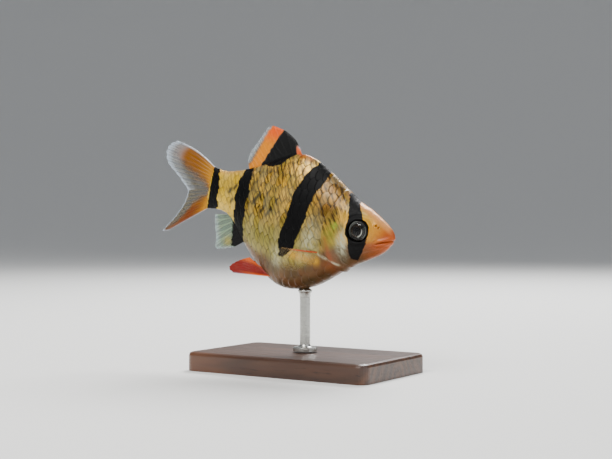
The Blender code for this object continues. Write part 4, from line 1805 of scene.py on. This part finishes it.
@dataclass
class MedianFins:
    """Dorsal, anal and tail fins, which stand on the midline."""

    shape: Shape
    sunk: float = 0.5
    dorsal_roots: tuple[float, float] = (25.6, 38.3)
    dorsal_tips: Points = (
        (0.0, 27.0, 13.2), (0.09, 28.6, 14.8), (0.18, 31.4, 16.1), (0.27, 34.9, 16.6), (0.38, 36.6, 15.6),
        (0.55, 37.9, 12.9), (0.75, 39.2, 10.4), (1.0, 39.8, 8.2),
    )
    anal_roots: tuple[float, float] = (36.0, 41.2)
    anal_tips: Points = (
        (0.0, 38.6, -11.4), (0.14, 40.6, -12.1), (0.28, 42.8, -12.8), (0.5, 43.6, -11.0), (0.75, 44.6, -8.2),
        (1.0, 45.2, -5.4),
    )
    upper_tips: Points = (
        (0.0, 59.6, 8.4), (0.15, 61.3, 7.3), (0.35, 62.1, 5.2), (0.55, 61.1, 2.9), (0.75, 58.6, 1.2),
        (1.0, 54.2, -2.0),
    )
    lower_tips: Points = (
        (0.0, 54.2, -2.0), (0.25, 54.8, -4.6), (0.5, 56.4, -7.8), (0.75, 58.2, -10.6), (0.9, 59.6, -12.8),
        (1.0, 57.9, -12.2),
    )
    tail_root: float = 4.5
    lobe_middle: float = -0.35
    lobe_gap: float = 0.01
    lobe_twist: float = 0.5
    tail_bow: float = 0.75
    lower_amber: Points = (
        (47.0, -1.6), (48.7, -2.3), (50.5, -3.3), (52.1, -4.7), (53.2, -6.6), (54.8, -9.0), (57.2, -11.3),
        (60.0, -13.4),
    )

    def crest_roots(self, ends: tuple[float, float], line: Reader, sunk: float) -> Reader:
        """Roots along the back or the belly, sunk into the body.

        Args:
            ends: distances from the snout of the first and the last root.
            line: the back or the belly.
            sunk: how far below the line they lie.

        Returns:
            A function of the share of the fin.
        """

        def read(share: Array) -> Array:
            """Points in the fish's frame."""
            along = ends[0] + (ends[1] - ends[0]) * share
            return np.stack([-along, 0 * share, line(along) - sunk], axis=-1)

        return read

    def tail_roots(self, top: float, bottom: float) -> Reader:
        """Roots across the end of the tail stem.

        Args:
            top: height of the first root.
            bottom: height of the last.

        Returns:
            A function of the share of the fin.
        """

        def read(share: Array) -> Array:
            """Points in the fish's frame."""
            height = top + (bottom - top) * share
            return np.stack([0 * share - self.shape.length + self.sunk, 0 * share, height], axis=-1)

        return read

    def paint_dorsal(self, spots: Spots) -> Masks:
        """Black front and base, an orange band behind them and a clear rear margin.

        Args:
            spots: the fin's points.

        Returns:
            Each colour's shares from 0 to 1.
        """
        leaning = spots.along - 0.43 * (15.5 - spots.height) + 0.1 * spots.ripple(21, 1.2)
        ink = ease(leaning, 32.5, 32.1)
        fade = ease(leaning + 0.3 * ease(spots.height, 13.0, 10.0), 36.2, 34.9)
        band = ease(leaning, 32.2, 32.5) * fade
        bump = ease(spots.share + 0.04 * spots.rise, 0.125, 0.09) * ease(spots.height, 14.0, 13.2)
        return {
            "ink": ink * (1 - bump),
            "amber": band,
            "red": np.clip(band * ease(spots.height, 12.0, 15.5) + bump * 0.9, 0, 1),
            "frost": np.clip(ease(leaning, 35.3, 36.4) * 0.6 + bump * ease(spots.rise, 0.6, 0.9), 0, 1),
            "solid": 0.85 * fade,
        }

    def paint_anal(self, spots: Spots) -> Masks:
        """Black root under the third bar, a yellow patch at the front and a clear sheet behind.

        Args:
            spots: the fin's points.

        Returns:
            Each colour's shares from 0 to 1.
        """
        behind = spots.along - 40.6 - 0.18 * (spots.height + 4.2) + 0.15 * spots.ripple(22, 1.0)
        ink = ease(behind, 0.3, -0.2) * ease(spots.height, -11.5, -10.9)
        patch = ridge(np.hypot(spots.along - 40.4, spots.height + 10.4), 1.2)
        return {"ink": ink, "amber": 0.55 * patch, "frost": 0.5 * ease(spots.rise, 0.7, 1.0)}

    def paint_upper(self, spots: Spots) -> Masks:
        """Amber along the top ray, greyish clear below it and a white margin.

        Args:
            spots: the fin's points.

        Returns:
            Each colour's shares from 0 to 1.
        """
        above = spots.height - 2.1 - 0.4 * (spots.along - 50.5) + 0.35 * spots.ripple(23, 2.2)
        amber = ease(above, -2.6, 1.0) * (1 - 0.85 * ease(spots.rise, 0.62, 0.95))
        base = ease(spots.rise, 0.2, 0.02)
        margin = 0.3 * ease(spots.rise, 0.6, 0.8) + 0.7 * ease(spots.rise, 0.84, 0.97)
        return {
            "amber": np.clip(amber + 0.6 * base, 0, 1),
            "gold": np.clip(base + 0.5 * amber * ease(spots.rise, 0.45, 0.1), 0, 1),
            "red": 0.1 * amber * ease(spots.rise, 0.15, 0.4) * ease(spots.rise, 0.85, 0.6),
            "frost": np.clip(margin + ridge(spots.share, 0.03), 0, 1),
        }

    def paint_lower(self, spots: Spots) -> Masks:
        """Reddish amber towards the tip and a pale edge along the fork.

        Args:
            spots: the fin's points.

        Returns:
            Each colour's shares from 0 to 1.
        """
        under = spline(self.lower_amber)(spots.along) - spots.height + 0.3 * spots.ripple(24, 2.0)
        warm = ease(under, -1.5, 1.0) * (1 - 0.7 * ease(spots.rise, 0.92, 1.0))
        base = ease(spots.rise, 0.24, 0.02)
        return {
            "amber": np.clip(warm + 0.6 * base, 0, 1),
            "gold": np.clip(base + 0.5 * warm * ease(spots.rise, 0.4, 0.1), 0, 1),
            "red": 0.7 * warm * ease(spots.share, 0.3, 0.7) * ease(spots.rise, 0.1, 0.5),
            "frost": np.clip(ease(spots.rise, 0.93, 1.0) + 0.5 * ridge(spots.share - 1.0, 0.03), 0, 1),
        }

    def fins(self) -> list[Fin]:
        """Every fin on the midline.

        Returns:
            The fins, ready to be dressed.
        """
        dorsal = Fin(
            "dorsal_web", self.crest_roots(self.dorsal_roots, self.shape.back, self.sunk),
            outline(self.dorsal_tips), sway(0.5), 12, self.paint_dorsal, "dorsal_fin", "dorsal_fin",
            plain_rays=4,
        )
        anal = Fin(
            "anal_web", self.crest_roots(self.anal_roots, self.shape.belly, -self.sunk),
            outline(self.anal_tips), sway(-0.4), 8, self.paint_anal, "anal_fin", "anal_fin",
            plain_rays=3,
        )
        upper = Fin(
            "tail_web_upper", self.tail_roots(self.tail_root, self.lobe_middle + self.lobe_gap),
            outline(self.upper_tips), bowed(sway(-self.lobe_twist, 0.5, 1.0), self.tail_bow), 10,
            self.paint_upper, "tail_fin_upper_lobe", "tail_fin", rows=96, plain_rays=1,
        )
        lower = Fin(
            "tail_web_lower", self.tail_roots(self.lobe_middle - self.lobe_gap, -self.tail_root),
            outline(self.lower_tips), sway(self.lobe_twist, 0.5, 0.0), 10,
            self.paint_lower, "tail_fin_lower_lobe", "tail_fin", rows=96, plain_rays=0,
        )
        return [dorsal, anal, upper, lower]


@dataclass
class PairedFins:
    """Pectoral and pelvic fins of one side."""

    side: Side
    pectoral_rays: int = 12
    pectoral_root: Points = ((-14.3, 4.2, -6.2), (-14.6, 3.7, -8.4))
    pectoral_tips: Points = (
        (0.0, -21.6, 6.9, -7.0), (0.2, -23.0, 7.2, -8.1), (0.5, -22.4, 7.1, -10.0),
        (0.8, -20.3, 6.7, -11.3), (1.0, -17.9, 6.1, -11.2),
    )
    pectoral_flare: float = 0.85
    pelvic_rays: int = 9
    pelvic_root: Points = ((-25.6, 2.3, -14.6), (-28.6, 2.0, -13.6))
    pelvic_tips: Points = (
        (0.0, -35.2, 3.2, -16.2), (0.15, -36.3, 3.3, -15.6), (0.5, -34.9, 3.2, -13.6),
        (1.0, -32.0, 2.9, -11.9),
    )
    pelvic_cup: float = 0.2

    @property
    def flip(self) -> Array:
        """Carries points of the left side over to this side."""
        return np.array([1, self.side.value, 1])

    def between(self, ends: Points) -> Reader:
        """Roots on a straight line, given for the left side.

        Args:
            ends: the first root and the last.

        Returns:
            A function of the share of the fin.
        """
        start, end = np.array(ends) * self.flip

        def read(share: Array) -> Array:
            """Points in the fish's frame."""
            return start + (end - start) * share[:, None]

        return read

    def fan(self, rows: Points) -> Reader:
        """Tips on a smooth curve, given for the left side.

        Args:
            rows: (share, x, y, z) points.

        Returns:
            A function of the share of the fin.
        """
        curves = [spline([(row[0], row[k]) for row in rows]) for k in (1, 2, 3)]

        def read(share: Array) -> Array:
            """Points in the fish's frame."""
            return np.stack([curve(share) for curve in curves], axis=-1) * self.flip

        return read

    def flared(self, amount: float) -> Reader:
        """Takes a fin out of the body at a steep angle, and then bends it back.

        Args:
            amount: how far it stands out, in millimetres.

        Returns:
            The shift, as a function of the place on the fin.
        """

        def read(share: Array, rise: Array) -> Array:
            """The shift outwards."""
            return sideways(self.side.value * amount * np.sin(math.pi * rise**0.6) + 0 * share)

        return read

    def cupped(self, amount: float) -> Reader:
        """Bows a fin out between its edges.

        Args:
            amount: how far it bows, in millimetres.

        Returns:
            The shift, as a function of the place on the fin.
        """

        def read(share: Array, rise: Array) -> Array:
            """The shift outwards."""
            return sideways(self.side.value * amount * np.sin(math.pi * share) * rise)

        return read

    def paint_pectoral(self, spots: Spots) -> Masks:
        """Clear, with an orange red first ray and a yellow tint at the root.

        Args:
            spots: the fin's points.

        Returns:
            Each colour's shares from 0 to 1.
        """
        first = ridge(spots.share, 0.1) * (1 - 0.85 * ease(spots.rise, 0.45, 0.8))
        amber = np.clip(first + 0.25 * ease(spots.rise, 0.6, 0.1), 0, 1)
        return {"red": first * 0.6, "amber": amber, "solid": first * 0.7}

    def paint_pelvic(self, spots: Spots) -> Masks:
        """Deep red, with an orange front edge and a clear rear margin.

        Args:
            spots: the fin's points.

        Returns:
            Each colour's shares from 0 to 1.
        """
        solid = ease(spots.share + 0.25 * spots.rise, 1.15, 0.75)
        edge = ease(spots.share, 0.22, 0.04) * ease(spots.rise, 0.85, 0.45)
        frost = 0.5 * ridge(spots.share, 0.03) * ease(spots.rise, 0.3, 0.7)
        return {"red": solid * (1 - 0.85 * edge), "amber": 1.0, "frost": frost, "solid": solid}

    def fins(self) -> list[Fin]:
        """Both fins of this side.

        Returns:
            The fins, ready to be dressed.
        """
        word = self.side.word
        pectoral = Fin(
            f"pectoral_web_{word}", self.between(self.pectoral_root), self.fan(self.pectoral_tips),
            self.flared(self.pectoral_flare), self.pectoral_rays, self.paint_pectoral,
            f"pectoral_fin_{word}", "pectoral_fin", plain_rays=1, web=0.03, ray_height=0.1,
        )
        pelvic = Fin(
            f"pelvic_web_{word}", self.between(self.pelvic_root), self.fan(self.pelvic_tips),
            self.cupped(self.pelvic_cup), self.pelvic_rays, self.paint_pelvic,
            f"pelvic_fin_{word}", "pelvic_fin", plain_rays=1,
        )
        return [pectoral, pelvic]


@dataclass
class Stand:
    """The stand's own solids, which keep their shape and get their finish."""

    wood: Colour = (0.36, 0.22, 0.13)
    wood_dark: Colour = (0.17, 0.095, 0.055)
    pore: Colour = (0.08, 0.045, 0.03)
    steel: Colour = (0.72, 0.72, 0.70)
    belly_level: float = 17.3
    seat_profile: Points = (
        (0.02, -1.6), (1.12, -1.6), (1.16, -1.5), (1.2, -0.75), (1.42, -0.45), (1.5, -0.3), (1.46, -0.1),
        (1.3, 0.05), (0.9, 0.35), (0.02, 0.45),
    )
    seat_spokes: int = 72

    def walnut(self) -> Material:
        """Satin walnut with its grain along the base.

        Returns:
            The material.
        """
        bench = Bench("walnut")
        coordinates = bench.add("ShaderNodeTexCoord", {}).outputs["Object"]
        warp = bench.noise(bench.stretch(coordinates, (0.03, 0.006, 0.01)), 1.0, 3.0, 0.5)
        log = bench.stretch(coordinates, (0.16, 0.02, 0.02))
        rings = bench.waves(log, "RINGS", Scale=2.6, Distortion=9.0, Detail=3.0)
        pores = bench.noise(bench.stretch(coordinates, (0.006, 0.0004, 0.0004)), 1.0, 2.0, 0.7)
        colour = bench.layered(
            self.wood,
            (bench.times(rings, 0.65), self.wood_dark),
            (bench.span(warp, 0.3, 0.7, 0.0, 0.5), self.wood_dark),
            (bench.span(pores, 0.6, 0.75, 0.0, 0.8), self.pore),
        )
        bench.set(Base_Color=colour, Roughness=bench.span(pores, 0.4, 0.7, 0.32, 0.5))
        bench.set(Coat_Weight=0.3, Coat_Roughness=0.25)
        bench.bump(pores, 0.03, 0.35)
        return bench.material

    def brushed(self) -> Material:
        """Brushed steel, with fine turning marks about the rod.

        Returns:
            The material.
        """
        bench = Bench("brushed_steel")
        coordinates = bench.add("ShaderNodeTexCoord", {}).outputs["Object"]
        marks = bench.noise(bench.stretch(coordinates, (0.004, 0.004, 0.00006)), 1.0, 2.0, 0.7)
        bench.set(Base_Color=self.steel, Metallic=1.0, Roughness=bench.span(marks, 0.3, 0.7, 0.22, 0.4))
        bench.bump(marks, 0.004, 0.5)
        return bench.material

    def seat(self) -> Mesh:
        """A small turned cup at the rod's top, in which the belly rests.

        Returns:
            The piece, without its finish.
        """
        profile = np.array(self.seat_profile)
        points = turned(profile[:, 0], profile[:, 1] + self.belly_level, self.seat_spokes)
        faces = grid_faces(len(profile), self.seat_spokes, closed=True)
        return Mesh("rod_seat", points * MM, faces[:, ::-1])

    def dress(self) -> None:
        """Gives the solids their finishes and adds the seat."""
        steel = self.brushed()
        for node, material in (("stand_base", self.walnut()), ("stand_rod", steel)):
            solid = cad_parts[node]
            solid.data.materials.clear()
            solid.data.materials.append(material)
        self.seat().finish(steel, "rod_steel")


@dataclass(frozen=True)
class Lamp:
    """A soft square light.

    Args:
        name: the light's name.
        place: (right, back, up) of the stand as seen from the camera, in metres.
        size: side of the square.
        power: watts.
        colour: its colour.
    """

    name: str
    place: tuple[float, float, float]
    size: float
    power: float
    colour: Colour


@dataclass
class Studio:
    """Floor, backdrop, lights and camera, in metres."""

    lamps: tuple[Lamp, ...] = (
        Lamp("key", (-0.22, -0.28, 0.5), 0.3, 4.2, (1.0, 0.98, 0.95)),
        Lamp("fill", (0.5, -0.35, 0.27), 0.45, 1.1, (0.92, 0.96, 1.0)),
        Lamp("rim", (0.12, 0.32, 0.42), 0.25, 5.0, (1.0, 1.0, 1.0)),
    )
    aim: tuple[float, float, float] = (0.0, 0.0, 0.028)
    lens: float = 66.47
    camera_from_snout: tuple[float, float, float] = (108.96, -200.54, 1.99)
    camera_turn: float = math.radians(33)
    floor_colour: Colour = (0.90, 0.90, 0.89)
    floor_radius: float = 0.6
    floor_bend: float = 2.6
    floor_steps: int = 60
    floor_spokes: int = 96
    world_colour: Colour = (0.86, 0.88, 0.92)
    world_strength: float = 0.38

    def floor(self) -> None:
        """A wide pale floor that curves up into a backdrop all round."""
        slope = math.pi / 2 * ease(np.arange(self.floor_steps) / (self.floor_steps - 1), 0.0, 1.0)
        step = self.floor_bend / self.floor_steps
        out, up = np.cumsum(np.cos(slope)) * step, np.cumsum(np.sin(slope)) * step
        flat = np.array([0.001, 0.2, 0.4, self.floor_radius])
        reach = np.concatenate([flat, self.floor_radius + out])
        points = turned(reach, np.concatenate([0 * flat, up]), self.floor_spokes)
        faces = grid_faces(len(reach), self.floor_spokes, closed=True)
        piece = Mesh("studio_floor", points, faces)
        bench = Bench("studio_paper")
        bench.set(Base_Color=self.floor_colour, Roughness=0.85, Specular_IOR_Level=0.2)
        piece.data.materials.append(bench.material)

    def light(self, lamp: Lamp) -> None:
        """Adds a light that looks at the fish.

        Args:
            lamp: its place, size and power.
        """
        cos, sin = math.cos(self.camera_turn), math.sin(self.camera_turn)
        right, back = Vector((cos, sin, 0.0)), Vector((-sin, cos, 0.0))
        data = bpy.data.lights.new(lamp.name, "AREA")
        data.shape = "SQUARE"
        data.size = lamp.size
        data.energy = lamp.power
        data.color = lamp.colour
        made = bpy.data.objects.new(lamp.name, data)
        made.location = right * lamp.place[0] + back * lamp.place[1] + Vector((0, 0, lamp.place[2]))
        made.rotation_euler = (Vector(self.aim) - made.location).to_track_quat("-Z", "Y").to_euler()
        bpy.context.scene.collection.objects.link(made)

    def camera(self) -> None:
        """The photo's own point of view: level with the snout, turned towards the head."""
        data = bpy.data.cameras.new("camera")
        data.lens = self.lens
        data.sensor_width = 36.0
        data.clip_start = 0.01
        made = bpy.data.objects.new("camera", data)
        made.location = (Vector(POSE.snout) + Vector(self.camera_from_snout)) * MM
        made.rotation_euler = (math.pi / 2, 0.0, self.camera_turn)
        bpy.context.scene.collection.objects.link(made)
        bpy.context.scene.camera = made

    def world(self) -> None:
        """Even light from all round."""
        made = bpy.data.worlds.new("studio")
        made.use_nodes = True
        background = made.node_tree.nodes["Background"]
        background.inputs["Color"].default_value = linear(self.world_colour)
        background.inputs["Strength"].default_value = self.world_strength
        bpy.context.scene.world = made

    def build(self) -> None:
        """Sets the whole studio up."""
        self.floor()
        self.world()
        for lamp in self.lamps:
            self.light(lamp)
        self.camera()


FIN_FINISHES = {
    "dorsal_fin": FinFinish("dorsal_membrane", amber=(0.84, 0.50, 0.03), red=(0.88, 0.33, 0.02)),
    "anal_fin": FinFinish(
        "anal_membrane", web=(0.42, 0.52, 0.43), ray=(0.56, 0.64, 0.54), amber=(0.72, 0.62, 0.12),
        web_alpha=0.5,
    ),
    "tail_fin": FinFinish(
        "tail_membrane", web=(0.30, 0.29, 0.25), ray=(0.44, 0.42, 0.34), amber=(0.50, 0.30, 0.0),
        red=(0.40, 0.11, 0.0),
    ),
    "pectoral_fin": FinFinish("pectoral_membrane", web=(0.75, 0.62, 0.34), web_alpha=0.03, ray_alpha=0.13),
    "pelvic_fin": FinFinish("pelvic_membrane", amber=(0.85, 0.36, 0.02), red=(0.50, 0.03, 0.0)),
}


def main() -> None:
    """Builds the fish, its stand and the studio, and logs each piece."""
    logging.basicConfig(level=logging.INFO, format="%(name)s: %(message)s")
    Studio().build()
    LOG.info("studio set up")
    flesh = FleshFinish()
    Skin(SHAPE, FACE).dress(flesh)
    LOG.info("skin laid over the head, trunk and tail stem")
    scale_finish = flesh.scales()
    eye_finish = EyeFinish()
    for side in Side:
        piece = Scales(SHAPE, FACE, side).dress(scale_finish)
        LOG.info("%s: %d faces", piece.name, len(piece.data.polygons))
        for piece in Eye(FACE, side).dress(eye_finish):
            LOG.info("%s placed", piece.name)
    fins = MedianFins(SHAPE).fins()
    for side in Side:
        fins += PairedFins(side).fins()
    for fin in fins:
        piece = fin.dress(FIN_FINISHES[fin.slot])
        LOG.info("%s: %d faces", piece.name, len(piece.data.polygons))
    Stand().dress()
    LOG.info("stand finished")


if __name__ == "__main__":
    main()
